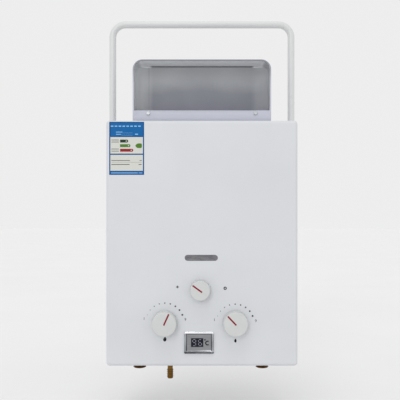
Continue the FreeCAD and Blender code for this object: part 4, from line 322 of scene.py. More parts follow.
class Finish:
    """A material's node tree with its Principled shader, its object coordinates and a few shorthands."""

    def __init__(self, name, **uniform):
        self.material = bpy.data.materials.new(name)
        self.material.use_nodes = True
        self.tree = self.material.node_tree
        self.shader = self.tree.nodes["Principled BSDF"]
        for socket, value in uniform.items():
            self.shader.inputs[socket.replace("_", " ")].default_value = value
        self.coordinates = self.node("ShaderNodeTexCoord").outputs["Object"]
        self.axes = None

    def node(self, kind, links=(), **settings):
        """A new node with its settings, and with each (socket, source) linked."""
        node = self.tree.nodes.new(kind)
        for key, value in settings.items():
            setattr(node, key, value)
        for socket, source in links:
            self.tree.links.new(source, node.inputs[socket])
        return node

    def feed(self, socket, value):
        """Links a source to a socket, or sets a plain value on it."""
        if hasattr(value, "is_output"):
            self.tree.links.new(value, socket)
        else:
            socket.default_value = value

    def along(self, axis):
        """One of the object coordinates, X, Y or Z."""
        if self.axes is None:
            self.axes = self.node("ShaderNodeSeparateXYZ", [("Vector", self.coordinates)])
        return self.axes.outputs[axis]

    def arithmetic(self, operation, *values):
        """A sum, product, difference or absolute value of sources and plain numbers."""
        node = self.node("ShaderNodeMath", operation=operation)
        for socket, value in zip(node.inputs, values):
            self.feed(socket, value)
        return node.outputs[0]

    def stretch(self, x, y, z, turn=(0, 0, 0)):
        """The object coordinates scaled by x, y and z after a turn."""
        mapping = self.node("ShaderNodeMapping", [("Vector", self.coordinates)])
        mapping.inputs["Rotation"].default_value = turn
        mapping.inputs["Scale"].default_value = (x, y, z)
        return mapping.outputs["Vector"]

    def bent(self, scale, reach):
        """The object coordinates pushed about by a noise of the given scale and reach."""
        push = self.node("ShaderNodeTexNoise", [("Vector", self.coordinates)])
        push.inputs["Scale"].default_value = scale
        centred = self.node("ShaderNodeVectorMath", [(0, push.outputs["Color"])], operation="SUBTRACT")
        centred.inputs[1].default_value = (0.5, 0.5, 0.5)
        scaled = self.node("ShaderNodeVectorMath", [(0, centred.outputs[0])], operation="SCALE")
        scaled.inputs["Scale"].default_value = reach
        links = [(0, self.coordinates), (1, scaled.outputs[0])]
        return self.node("ShaderNodeVectorMath", links, operation="ADD").outputs[0]

    def noise(self, scale, detail=3.0, rough=0.5, place=None):
        """A noise over the object coordinates, or over another place."""
        node = self.node("ShaderNodeTexNoise", [("Vector", place or self.coordinates)])
        for socket, value in (("Scale", scale), ("Detail", detail), ("Roughness", rough)):
            node.inputs[socket].default_value = value
        return node.outputs["Fac"]

    def clouds(self, scale, detail=3.0, start=0.3, end=0.7):
        """A noise led from the given part of its own range into 0 to 1."""
        return self.between(self.noise(scale, detail), 0, 1, start, end)

    def cells(self, scale, place=None, output="Color"):
        """Cells round scattered points: each cell's own random colour, or the distance to its point."""
        node = self.node("ShaderNodeTexVoronoi", [("Vector", place or self.coordinates)])
        node.inputs["Scale"].default_value = scale
        return node.outputs[output]

    def between(self, source, low, high, start=0.0, end=1.0):
        """A value led from one range into another."""
        node = self.node("ShaderNodeMapRange", [("Value", source)])
        for socket, value in (("From Min", start), ("From Max", end), ("To Min", low), ("To Max", high)):
            node.inputs[socket].default_value = value
        return node.outputs["Result"]

    def blend(self, factor, one, other):
        """One colour where the factor is 0 and the other where it is 1. Of the node's sockets, 6 and 7
        take the colours and 2 gives their mix."""
        node = self.node("ShaderNodeMix", [("Factor", factor)], data_type="RGBA")
        for socket, colour in ((6, one), (7, other)):
            plain = not hasattr(colour, "is_output")
            self.feed(node.inputs[socket], tuple(colour)[:3] + (1.0,) if plain else colour)
        return node.outputs[2]

    def colour(self, factor, one, other):
        """Blends two colours into the shader's own."""
        self.tree.links.new(self.blend(factor, one, other), self.shader.inputs["Base Color"])
        return self

    def roughness(self, source, low, high, start=0.3, end=0.7):
        """Leads a source from one range into the shader's roughness."""
        self.tree.links.new(self.between(source, low, high, start, end), self.shader.inputs["Roughness"])
        return self

    def relief(self, source, height):
        """Bump of the given height in metres."""
        bump = self.node("ShaderNodeBump", [("Height", source)])
        bump.inputs["Strength"].default_value = 1.0
        bump.inputs["Distance"].default_value = height
        self.tree.links.new(bump.outputs["Normal"], self.shader.inputs["Normal"])
        return self


def shade(colour, factor):
    """A colour made darker or lighter."""
    return tuple(min(part * factor, 1.0) for part in tuple(colour)[:3])


def powder_coat(name, colour, rough=0.36):
    """Baked powder: even colour, faint clouds, orange peel and a fine grain."""
    finish = Finish(name)
    finish.colour(finish.clouds(9), shade(colour, 0.975), shade(colour, 1.015))
    finish.roughness(finish.noise(60), rough - 0.04, rough + 0.06)
    return finish.relief(finish.noise(700, 2), 0.000012).material


def cap_coat(name, colour):
    """The cap's satin coat outside with painted shade: darker from the middle of its opening up to its top,
    most of all along the front rim."""
    finish = Finish(name)
    low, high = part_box("rain_cap")
    # painted shade: the coat darkens from the middle of the opening up to the top
    painted_shade = finish.between(finish.along("Z"), 0, 1, (low.z + CAP_OPENING + high.z) / 2, high.z)
    unshaded = finish.blend(finish.clouds(9), shade(colour, 0.98), shade(colour, 1.01))
    # painted shade, deepest along the front rim
    rim = finish.between(finish.along("Y"), 0, 1, low.y + 0.001, low.y + 0.006)
    upper = finish.blend(rim, shade(colour, 0.47), shade(colour, 0.8))
    finish.colour(painted_shade, unshaded, upper)
    finish.roughness(finish.noise(60), 0.38, 0.5)
    return finish.relief(finish.noise(700, 2), 0.000012).material


def cap_inside_painted_light():
    """The cap's coat inside, with painted light and shade from the place inside: the rear wall is painted
    darkest low down and away from the sides, with a painted shade line at a crease near its left edge, and
    the roof is painted lightest at the front, with a painted shade line at the fold along its rear edge."""
    finish = Finish("cap_inside")
    low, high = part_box("rain_cap")
    foot = low.z + CAP_OPENING
    waist = foot + 0.45 * (high.z - foot)
    side_reach, side_edge = 0.03, 0.002
    crease_left, crease_right = (-0.0908, -0.0902), (-0.0896, -0.0890)
    fold_ends = (0.084, 0.089)
    x, y, z = (finish.along(axis) for axis in "XYZ")
    height = finish.arithmetic("ADD", z, finish.between(finish.noise(11, 3), -0.006, 0.006, 0.3, 0.7))
    # painted shade: the rear wall darker low down
    lower = finish.between(height, 0, 1, foot, waist)
    wall = finish.blend(lower, linear(132, 133, 147), linear(136, 139, 147))
    upper = finish.between(height, 0, 1, waist, high.z - 0.004)
    wall = finish.blend(upper, wall, linear(190, 192, 194))
    # painted light: the wall lighter towards the sides
    left = finish.between(x, 0.85, 0, -high.x + side_edge, -high.x + side_reach)
    right = finish.between(x, 0, 0.4, high.x - side_reach, high.x - side_edge)
    wall = finish.blend(finish.arithmetic("ADD", left, right), wall, linear(222, 224, 226))
    # painted shade: a dark line along the crease near the left edge
    crease = finish.blend(finish.between(x, 0, 1, *crease_right), linear(104, 106, 110), wall)
    wall = finish.blend(finish.between(x, 0, 0.35, *crease_left), wall, crease)
    rearward = finish.between(y, 0, 1, low.y, high.y - 0.008)
    # painted light: the roof's underside near white, lightest at the front
    roof = finish.blend(rearward, linear(255, 255, 255), linear(246, 248, 251))
    # painted shade: a dark line along the fold at the roof's rear edge
    behind = finish.between(y, 0, 1, high.y - 0.009, high.y - 0.005)
    inward = finish.between(finish.arithmetic("ABSOLUTE", x), 1, 0, *fold_ends)
    roof = finish.blend(finish.arithmetic("MULTIPLY", behind, inward), roof, linear(150, 150, 154))
    finish.colour(finish.between(z, 0, 1, high.z - 0.0028, high.z - 0.0012), wall, roof)
    finish.roughness(finish.noise(40), 0.4, 0.56)
    return finish.relief(finish.noise(500, 2), 0.000012).material


def moulded(name, colour, rough, grain):
    """Injection moulded plastic: fine spark grain and slight colour drift."""
    finish = Finish(name)
    finish.colour(finish.clouds(40, 4), shade(colour, 0.96), shade(colour, 1.03))
    finish.roughness(finish.noise(300), rough - 0.05, rough + 0.07)
    return finish.relief(finish.noise(1800, 2), grain).material


def bare_metal(name, colour, rough, stretch):
    """Drawn, brushed or turned metal: fine lines along the direction with the smallest scale."""
    finish = Finish(name, Metallic=1.0)
    lines = finish.noise(1.0, 4, 0.6, finish.stretch(*stretch))
    finish.colour(finish.clouds(14), shade(colour, 0.88), shade(colour, 1.06))
    finish.roughness(lines, rough - 0.08, rough + 0.12)
    return finish.relief(lines, 0.000004).material


def galvanised_sheet():
    """Zinc spangle: cells of slightly different grey and gloss, with fine grain over them."""
    finish = Finish("galvanised_sheet", Metallic=0.85)
    spangle = finish.cells(170, finish.bent(40, 0.006))
    grey = finish.node("ShaderNodeRGBToBW", [("Color", spangle)]).outputs["Val"]
    finish.colour(grey, linear(164, 168, 171), linear(190, 193, 196))
    finish.roughness(grey, 0.34, 0.52, 0.1, 0.9)
    return finish.relief(finish.noise(420, 3), 0.000012).material


def die_cast():
    """As cast alloy: soft grain, darker flow clouds."""
    finish = Finish("die_cast", Metallic=0.7)
    finish.colour(finish.clouds(35, 4), linear(138, 141, 146), linear(178, 181, 184))
    finish.roughness(finish.noise(260), 0.42, 0.62)
    return finish.relief(finish.noise(900, 3), 0.00003).material


def heated_copper(name, colour):
    """Copper sheet: drawn lines and dark red heat tints in clouds."""
    finish = Finish(name, Metallic=1.0)
    lines = finish.noise(1.0, 4, 0.6, finish.stretch(40, 40, 700))
    tint = finish.between(finish.noise(11, 5, 0.6), 0, 1, 0.46, 0.62)
    plain = finish.blend(finish.between(lines, 0, 1, 0.35, 0.65), shade(colour, 0.86), shade(colour, 1.06))
    finish.colour(finish.between(tint, 0, 0.55), plain, linear(122, 62, 58))
    finish.roughness(lines, 0.24, 0.44)
    return finish.relief(lines, 0.000005).material


def soft_rubber(name, colour, rough=0.7):
    """Rubber or silicone: matt, with a fine grain and uneven dark and pale patches."""
    finish = Finish(name)
    finish.colour(finish.clouds(60, 4), shade(colour, 0.8), shade(colour, 1.25))
    finish.roughness(finish.noise(200), rough - 0.08, rough + 0.1)
    return finish.relief(finish.noise(1200, 2), 0.00002).material


def glazed_ceramic():
    """Cream ceramic under a thin glaze, with a few darker specks."""
    finish = Finish("glazed_ceramic", Coat_Weight=0.6, Coat_Roughness=0.08)
    finish.colour(finish.clouds(900, 2, 0.62, 0.75), linear(238, 235, 226), linear(196, 188, 172))
    finish.roughness(finish.noise(120), 0.22, 0.34)
    return finish.relief(finish.noise(150, 2), 0.00001).material


def bright_chrome():
    """Plated frame: mirror with a faint swell and rub marks, and painted reflections from the place on the
    frame: a painted highlight along its upper rail, painted dark reflection on the slopes and the palest
    painted reflection on the outer flanks and the sill."""
    finish = Finish("bright_chrome", Metallic=1.0)
    centre, half = middle("display_bezel")
    foot, top = centre[2] - half[2], centre[2] + half[2]
    height = finish.along("Z")
    sideways = finish.arithmetic("SUBTRACT", finish.along("X"), centre[0])
    aside = finish.arithmetic("ABSOLUTE", sideways)
    rubbed = finish.clouds(50, 4, 0.35, 0.65)
    # painted dark reflection on the slopes, painted pale reflection on the outer flanks
    painted_shade = finish.blend(rubbed, linear(78, 80, 85), linear(104, 106, 111))
    flank = finish.blend(rubbed, linear(156, 158, 163), linear(182, 184, 189))
    mirror = finish.blend(finish.between(aside, 0, 1, half[0] - 0.0030, half[0] - 0.0024), painted_shade, flank)
    rightward = finish.between(sideways, 0, 1, 0, half[0])
    # painted reflection on the sill, brighter to the right
    sill = finish.blend(rightward, linear(160, 162, 166), linear(228, 230, 234))
    low = finish.blend(finish.between(height, 0, 1, foot + 0.0032, foot + 0.0036), painted_shade, sill)
    mirror = finish.blend(finish.between(height, 1, 0, foot + 0.0040, foot + 0.0048), mirror, low)
    # painted highlight along the upper rail
    rail = finish.between(height, 0, 1, top - 0.0036, top - 0.0030)
    finish.colour(rail, mirror, linear(250, 251, 253))
    finish.roughness(finish.noise(500, 4), 0.12, 0.24)
    return finish.relief(finish.noise(160, 2), 0.000004).material


def mica_sheet():
    """Cleaved mica: long pale flakes over smoky grey."""
    finish = Finish("mica_sheet")
    flakes = finish.noise(1.0, 5, 0.6, finish.stretch(70, 300, 260, (0, 0.5, 0)))
    finish.colour(finish.between(flakes, 0, 1, 0.35, 0.65), linear(98, 97, 101), linear(122, 121, 125))
    finish.roughness(flakes, 0.2, 0.45)
    return finish.relief(flakes, 0.00002).material


def display_face():
    """Brushed grey face of the display window."""
    finish = Finish("display_face", Coat_Weight=0.2, Coat_Roughness=0.1)
    lines = finish.noise(1.0, 3, 0.5, finish.stretch(60, 1200, 1200))
    finish.colour(finish.between(lines, 0, 1, 0.3, 0.7), linear(118, 119, 122), linear(138, 139, 142))
    finish.roughness(lines, 0.34, 0.5)
    return finish.relief(lines, 0.000003).material


def crystal_ground():
    """Dark glass of the liquid crystal field with a faint cell mesh."""
    finish = Finish("crystal_ground", Specular_IOR_Level=0.15)
    mesh = finish.cells(1500, output="Distance")
    finish.colour(finish.between(mesh, 0, 1, 0.0, 0.8), linear(16, 16, 24), linear(30, 30, 42))
    finish.roughness(finish.noise(90), 0.22, 0.32)
    return finish.relief(mesh, 0.000002).material


def lit_segment():
    """Segments of the liquid crystal, a little clouded."""
    finish = Finish("lit_segment", Specular_IOR_Level=0.2)
    finish.colour(finish.clouds(800), linear(112, 113, 124), linear(140, 141, 150))
    return finish.roughness(finish.noise(300), 0.3, 0.4).material


def sill_painted_highlight():
    """Painted highlight on the window's lower edge where it catches the light, brighter to the right."""
    finish = Finish("sill_painted_highlight")
    centre, half = middle("display_bezel")
    rightward = finish.between(finish.along("X"), 0, 1, centre[0] - half[0] * 0.3, centre[0] + half[0] * 0.7)
    finish.colour(rightward, linear(146, 148, 152), linear(226, 228, 231))
    finish.roughness(finish.noise(300), 0.2, 0.34)
    return finish.relief(finish.noise(400, 2), 0.000004).material


def printed_ink(name, colour):
    """Screen print: faint pinholes and an even satin."""
    finish = Finish(name, Specular_IOR_Level=0.2)
    finish.colour(finish.clouds(2600, 3, 0.35, 0.7), shade(colour, 0.9), shade(colour, 1.2))
    finish.roughness(finish.noise(700), 0.44, 0.58)
    return finish.relief(finish.noise(2200, 2), 0.000006).material


def glossy_vinyl(name, colour):
    """Label film: print grain under gloss, with a very slight ripple."""
    finish = Finish(name, Specular_IOR_Level=0.12)
    finish.colour(finish.clouds(1500), shade(colour, 0.93), shade(colour, 1.08))
    finish.roughness(finish.noise(90, 3), 0.3, 0.42)
    return finish.relief(finish.noise(55, 2), 0.00003).material


def cell_sleeve():
    """Shrunk sleeve of a dry cell: dark film with a metallic band near the top, from the height."""
    finish = Finish("cell_sleeve", Coat_Weight=0.3, Coat_Roughness=0.2)
    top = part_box("battery_cells")[1].z
    band_above = finish.between(finish.along("Z"), 0, 1, top - 0.0165, top - 0.016)
    finish.colour(band_above, linear(34, 36, 44), linear(176, 132, 74))
    finish.roughness(finish.noise(300), 0.28, 0.4)
    return finish.relief(finish.noise(200, 2), 0.00001).material


def pressed_stainless():
    """Rolled stainless sheet with fine lines and sooty clouds."""
    finish = Finish("pressed_stainless", Metallic=1.0)
    lines = finish.noise(1.0, 3, 0.5, finish.stretch(500, 40, 40))
    finish.colour(finish.clouds(30, 4, 0.52, 0.7), linear(150, 148, 144), linear(104, 96, 92))
    finish.roughness(lines, 0.3, 0.5)
    return finish.relief(lines, 0.000006).material


def studio_floor():
    """Even pale floor with the faintest clouds."""
    finish = Finish("studio_floor")
    finish.colour(finish.clouds(3), linear(235, 235, 235), linear(237, 237, 237))
    return finish.roughness(finish.noise(20), 0.8, 0.9).material


def recipes():
    """How each slot of the record gets its finish."""
    tone = colours()
    return {
        "case_paint": lambda: powder_coat("case_powder_coat", tone.case),
        "cap_paint": lambda: cap_coat("cap_satin_coat", tone.cap),
        "handle_coat": lambda: powder_coat("handle_powder_coat", tone.handle, 0.3),
        "galvanised": galvanised_sheet,
        "zinc_screw": lambda: bare_metal("zinc_plated_steel", linear(186, 188, 192), 0.48, (200, 200, 200)),
        "copper": lambda: heated_copper("heated_copper_sheet", tone.copper),
        "water_tube": lambda: heated_copper("drawn_copper_tube", shade(tone.copper, 1.05)),
        "burner_steel": pressed_stainless,
        "cast_alloy": die_cast,
        "brass": lambda: bare_metal("turned_brass", tone.brass, 0.28, (60, 60, 1400)),
        "steel": lambda: bare_metal("turned_steel", linear(150, 152, 156), 0.3, (300, 60, 300)),
        "rubber": lambda: soft_rubber("moulded_rubber", linear(34, 34, 34)),
        "knob_plastic": lambda: moulded("knob_plastic", tone.knob, 0.34, 0.000006),
        "black_plastic": lambda: moulded("black_plastic", linear(44, 44, 47), 0.48, 0.00002),
        "thermostat": lambda: bare_metal("pressed_can", linear(190, 190, 190), 0.3, (400, 60, 60)),
        "ceramic": glazed_ceramic,
        "chrome": bright_chrome,
        "display": display_face,
        "mica": mica_sheet,
        "cell_wrap": cell_sleeve,
        "lead_sleeve": lambda: soft_rubber("silicone_sleeve", linear(150, 34, 30), 0.5),
    }


made = {}


def finish_of(slot):
    """The finish of a slot of the record, made once."""
    if slot not in made:
        made[slot] = recipes()[slot]()
    return made[slot]


def printed(name, colour):
    """A printed or let in colour, made once."""
    if name not in made:
        made[name] = printed_ink(name, colour)
    return made[name]


# ---------------------------------------------------------------- pieces


def arc_path(points, bend, steps=8):
    """A path through points with each inner corner rounded by a true arc of the given radius: the arc's
    centre lies on the corner's bisector, and its points are the two arms weighted by sines."""
    points = np.asarray(points, float)
    line = [points[:1]]
    for before, corner, after in zip(points, points[1:], points[2:]):
        back = (before - corner) / np.linalg.norm(before - corner)
        on = (after - corner) / np.linalg.norm(after - corner)
        half = math.acos(np.clip(back @ on, -1, 1)) / 2
        centre = corner + (back + on) / np.linalg.norm(back + on) * bend / math.sin(half)
        start = corner + back * bend / math.tan(half) - centre
        end = corner + on * bend / math.tan(half) - centre
        whole = math.pi - 2 * half
        share = np.linspace(0, whole, steps + 1)[:, None]
        line.append(centre + (start * np.sin(whole - share) + end * np.sin(share)) / math.sin(whole))
    line.append(points[-1:])
    return np.concatenate(line)


# Each pointer's direction on its knob, counted from the right.
POINTER_TURN = {"gas": math.radians(65.8), "water": math.radians(133.7), "season": math.radians(144)}
HEX_FLAT = math.cos(math.pi / 6)  # a hexagon's half width over its corner's radius
HEX_SLOPE = 1.7  # how steeply a hexagon's turned off edge falls
HEX_TURNED = 0.88  # radius of a nut's turned face over its corners'
HANDLE_SIDES = 14  # of the solid handle; the round bar is slimmer by the cosine of half a side
CAP_SHEET = 0.0006  # thickness of the cap's sheet


def hexagonal(angle, radius):
    """Distance to a hexagon's side at an angle: the half width over the cosine of the angle from the
    middle of that side."""
    return radius * HEX_FLAT / np.cos(np.mod(angle, math.pi / 3) - math.pi / 6)


def hex_head(across, height):
    """Profile and swell of a hexagon with its outer edge turned off: the radius is the smaller of the
    hexagon's side and a cone."""
    levels, top = 6, across * 0.84
    heights = np.concatenate([[0, 0], np.linspace(height * 0.5, height, levels), [height]])
    radii = np.concatenate([[0], np.full(levels + 1, across), [0]])

    def swell(angle, level, radius):
        """The hexagon's side within the cone."""
        cone = top + np.maximum(height - level, 0) * HEX_SLOPE
        return np.where(radius > 0, np.minimum(hexagonal(angle, across), cone), 0)

    return np.column_stack([radii, heights]), swell


def hex_ring(across, bore, height):
    """Profile, number of sides and swell of a nut: a hexagon with both edges turned off round a bore."""
    levels = np.linspace(0, height, 9)
    profile = [(bore, 0), *[(across, level) for level in levels], (bore, height), (bore, 0)]

    def swell(angle, level, radius):
        """The hexagon's side within a cone at each edge."""
        cone = across * HEX_TURNED + np.minimum(level, height - level) * HEX_SLOPE
        return np.where(radius > bore * 1.01, np.minimum(hexagonal(angle, across), cone), radius)

    return np.array(profile), 48, swell


def threaded(radius, pitch, depth, low, high):
    """Swell that cuts a thread between two heights: the radius falls by a triangle wave of the height
    over the pitch less the share of a turn."""

    def swell(angle, level, current):
        """The radius less the cut, between the two heights and on the thread's own radius."""
        phase = np.mod(level / pitch - angle / (2 * math.pi), 1)
        cut = depth * np.abs(2 * phase - 1)
        inside = (level > low) & (level < high) & (current > radius * 0.999)
        return np.where(inside, current - cut, current)

    return swell


class HEATER_OT_handle(bpy.types.Operator):
    """Make the carry handle, a smooth round bar on its U shaped path, and its end plugs"""

    bl_idname = "heater.handle"
    bl_label = "Carry handle"

    def execute(self, context):
        centre, half = middle("carry_handle")
        radius = half[1] * math.cos(math.pi / HANDLE_SIDES)
        reach = half[0] - radius
        low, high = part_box("carry_handle")
        y, plug = centre[1], 0.004
        top = high.z - radius
        corners = [(-reach, y, low.z + plug), (-reach, y, top), (reach, y, top), (reach, y, low.z + plug)]
        path = arc_path(corners, sizes().handle_bend, 16)
        coat = finish_of("handle_coat")
        piece("handle_bar", tube(path, radius, 32), coat, "handle", ["carry_handle"])
        profile = softened([(0, 0), (radius * 0.98, 0), (radius * 0.98, plug), (0, plug)], 0.0018)
        plugs = []
        for side in (-reach, reach):
            points, faces = turned(profile, 32)
            plugs.append((set_down(points, (side, y, low.z)), faces))
        piece("handle_plugs", joined(plugs), finish_of("black_plastic"), "handle")
        return {"FINISHED"}


class HEATER_OT_rain_cap(bpy.types.Operator):
    """Make the rain cap, a folded sheet with rounded shoulders, a closed band and a lip.

    Along x the roof's height z(x) and the rear wall's depth y(x) are flat in the middle and quarter
    circles near the sides. The roof is (x, y, z(x)) from the front to y(x), the rear wall
    (x, y(x), z) from the foot to z(x). Side walls, band and lip are flat grids on the same points"""

    bl_idname = "heater.rain_cap"
    bl_label = "Rain cap"

    def execute(self, context):
        low, high = (np.array(corner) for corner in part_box("rain_cap"))
        side, roof, front, back, foot = high[0], high[2], low[1], high[1], low[2]
        shoulder, rear, hem = sizes().cap_shoulder, sizes().cap_rear, sizes().cap_hem
        opening = foot + CAP_OPENING
        turn = np.radians(np.linspace(0, 90, 13))
        near = [side - shoulder + shoulder * np.sin(turn), side - rear + rear * np.sin(turn)]
        right = np.unique(np.round(np.concatenate(near), 7))
        across = np.concatenate([-right[::-1], np.linspace(-right[0], right[0], 9)[1:-1], right])
        over = np.maximum(np.abs(across) - (side - shoulder), 0)
        height = roof - shoulder + np.sqrt(np.maximum(shoulder**2 - over**2, 0))
        past = np.maximum(np.abs(across) - (side - rear), 0)
        depth = back - rear + np.sqrt(np.maximum(rear**2 - past**2, 0))
        spring = roof - shoulder
        levels = np.concatenate([np.linspace(foot, opening, 3), np.linspace(opening, spring, 7)[1:]])
        rise = (levels - foot)[:, None] / (spring - foot)
        share = np.linspace(0, 1, 9)[:, None]

        def grid(x, y, z):
            """The points (x, y, z) of three arrays that fit each other's shape, and their quads."""
            points = np.stack(np.broadcast_arrays(x, y, z), -1)
            return points.reshape(-1, 3), quads(*points.shape[:2])

        inner = np.clip(across, -(side - hem), side - hem)
        within = np.maximum(np.abs(inner) - (side - shoulder), 0)
        edge = spring + np.sqrt(np.maximum((shoulder - hem) ** 2 - within**2, 0))
        wall_y = (front + (back - rear - front) * share).T
        sheets = [
            grid(across[None, :], front + (depth - front)[None, :] * share, height[None, :]),
            grid(across[None, :], depth[None, :], foot + (height - foot)[None, :] * rise),
            grid(np.stack([across, inner]), front, np.stack([height, edge])),
            grid(np.linspace(-side + hem, side - hem, 9)[None, :], front, levels[:3, None]),
        ]
        for sign in (-1, 1):
            sheets.append(grid(sign * side, wall_y, levels[:, None]))
            sheets.append(grid(sign * np.array([[side, side - hem]]), front, levels[:, None]))
        coat = finish_of("cap_paint")
        cap = piece("rain_cap_sheet", joined(sheets), coat, "heater", ["rain_cap"], bevel=0.0008)
        # the inside of the sheet gets painted light and shade
        cap.data.materials.append(cap_inside_painted_light())
        sheet = cap.modifiers.new("sheet", "SOLIDIFY")
        sheet.thickness = CAP_SHEET
        sheet.offset = -1
        sheet.material_offset = 1
        return {"FINISHED"}


class HEATER_OT_knobs(bpy.types.Operator):
    """Make the three knobs, each a hollow body with a softened edge and a let in pointer.

    The body is a profile of (radius, height) turned round the knob's axis, and the pointer a plate"""

    bl_idname = "heater.knobs"
    bl_label = "Knobs"

    def execute(self, context):
        for name in ("gas", "water", "season"):
            centre, half = middle(f"{name}_knob")
            radius, height = half[0], 2 * half[1]
            foot = (centre[0], centre[1] + half[1], centre[2])
            face = radius - sizes().knob_taper
            edge = sizes().knob_edge
            hollow, ceiling, top = radius - 0.0022, height * 0.45, height - INLAY
            profile = [(0, ceiling), (hollow, ceiling), (hollow, 0), (radius, 0)]
            profile += [(face, top), (face - edge * 1.2, top), (0, top)]
            reach = np.array([0, 0.0008, 0.0004, 0.0006, edge, 0.0001, 0])
            body, walls = turned(softened(profile, reach, 6), 96)
            knob = set_down(body, foot, "front"), walls
            own = f"{name}_control"
            piece(f"{name}_knob_body", knob, finish_of("knob_plastic"), own, [f"{name}_knob"])
            tail = sizes().season_tail if name == "season" else sizes().pointer_width / 2
            long = face - edge * 0.5
            wide = sizes().pointer_width / 2
            outline = rectangle((long + tail) / 2, wide, wide * 0.45, 3) + [(long - tail) / 2, 0]
            points, faces = plate(outline, height - 0.0006, height)
            inlay = set_down(points, foot, "front", POINTER_TURN[name]), faces
            ink = printed("pointer_inlay", colours().pointer)
            piece(f"{name}_pointer", inlay, ink, own)
        return {"FINISHED"}


def on_case(points):
    """Local (x, z, height) points laid on the casing's front face."""
    return set_down(points, (0, CASE_FRONT, 0), "front")


def from_case(*points):
    """Points in millimetres with heights from the casing's lower edge, in metres."""
    points = np.array(points, float) * MM
    points[:, 2] += CASE_LOW
    return points


# Where the signs stand on the casing's front, as x and z, and the corners of two of them.
SUN, SNOW = (0.0357, -0.2252), (-0.0375, -0.2232)
DROP, FLAME = (WATER_KNOB[0] + 0.0005, CASE_LOW + 0.0392), (GAS_KNOB[0], CASE_LOW + 0.0416)
DROP_SHAPE = ((0, 0.0042), (0.0024, -0.0004), (0, -0.0036), (-0.0024, -0.0004))
FLAME_SHAPE = (
    (0.0004, 0.0046),
    (0.003, -0.0002),
    (0.0012, -0.0036),
    (-0.0014, -0.0036),
    (-0.003, -0.0002),
    (-0.0012, 0.0016),
)
DIAL_DIGITS = (
    ("1", GAS_KNOB[0] - 0.0318, GAS_KNOB[2] + 0.0062),
    ("9", GAS_KNOB[0] + 0.0316, GAS_KNOB[2] + 0.005),
    ("1", WATER_KNOB[0] - 0.0318, WATER_KNOB[2] + 0.0044),
    ("9", WATER_KNOB[0] + 0.0318, WATER_KNOB[2] + 0.0028),
)
# Each dial's name, its knob's centre and how far above that the middle of the dots' arc lies.
DIALS = (("gas", GAS_KNOB, 0.0011), ("water", WATER_KNOB, -0.0006))


class HEATER_OT_printing(bpy.types.Operator):
    """Print the dials' dots and digits, the flame, drop, snow and sun signs on the casing.

    A dial's nine dots stand at the dial's radius times (cos a, sin a) from the middle of their arc, with a
    from 158 to 22 degrees, and grow evenly. The snow sign is three bars turned by 60 degrees"""

    bl_idname = "heater.printing"
    bl_label = "Printing on the casing"

    def execute(self, context):
        ink = printed("dial_ink", colours().ink)
        for name, centre, lift in DIALS:
            dots = []
            for i, angle in enumerate(np.radians(np.linspace(158, 22, 9))):
                radius = (sizes().dot_small + (sizes().dot_large - sizes().dot_small) * i / 8) / 2
                x = centre[0] + sizes().dial_radius * math.cos(angle)
                z = centre[2] + lift + sizes().dial_radius * math.sin(angle)
                dots.append(plate(polygon(radius, 20) + [x, z], -FILM, FILM))
            points, faces = joined(dots)
            piece(f"{name}_dial_dots", (on_case(points), faces), ink, "heater")
        signs = [band(polygon(0.0025, 32) + SUN, polygon(0.0010, 32) + SUN, -FILM, FILM)]
        for i in range(3):
            arm = rectangle(0.0022, 0.0004, 0.0003, 2)
            turn, thick = i * math.pi / 3 + math.pi / 6, FILM * (1 + 0.2 * i)
            c, s = math.cos(turn), math.sin(turn)
            arm = np.column_stack([arm[:, 0] * c - arm[:, 1] * s, arm[:, 0] * s + arm[:, 1] * c])
            signs.append(plate(arm + SNOW, -thick, thick))
        signs.append(plate(softened(DROP_SHAPE, 0.0028, 6, True) + DROP, -FILM, FILM))
        signs.append(plate(softened(FLAME_SHAPE, 0.0018, 5, True) + FLAME, -FILM, FILM))
        points, faces = joined(signs)
        piece("printed_signs", (on_case(points), faces), ink, "heater")
        points, faces = joined([lettered(text, 0.0042, x, z) for text, x, z in DIAL_DIGITS])
        piece("dial_digits", (on_case(points), faces), ink, "heater")
        return {"FINISHED"}


def lettered(text, height, x, z):
    """A digit of the built in font as a thin closed plate: made a mesh first, then centred and moved."""
    share = 0.7  # of the font's size that a digit is high
    curve = bpy.data.curves.new("digit", "FONT")
    curve.body = text
    curve.size = height / share
    curve.extrude = FILM
    curve.align_x = "CENTER"
    curve.resolution_u = 4
    thing = bpy.data.objects.new("digit", curve)
    mesh = bpy.data.meshes.new_from_object(thing)
    points = np.empty(len(mesh.vertices) * 3)
    mesh.vertices.foreach_get("co", points)
    points = points.reshape(-1, 3)
    faces = [list(face.vertices) for face in mesh.polygons]
    centre = (points.min(0) + points.max(0)) / 2
    bpy.data.objects.remove(thing)
    bpy.data.curves.remove(curve)
    bpy.data.meshes.remove(mesh)
    return points - centre + [x, z, 0], faces


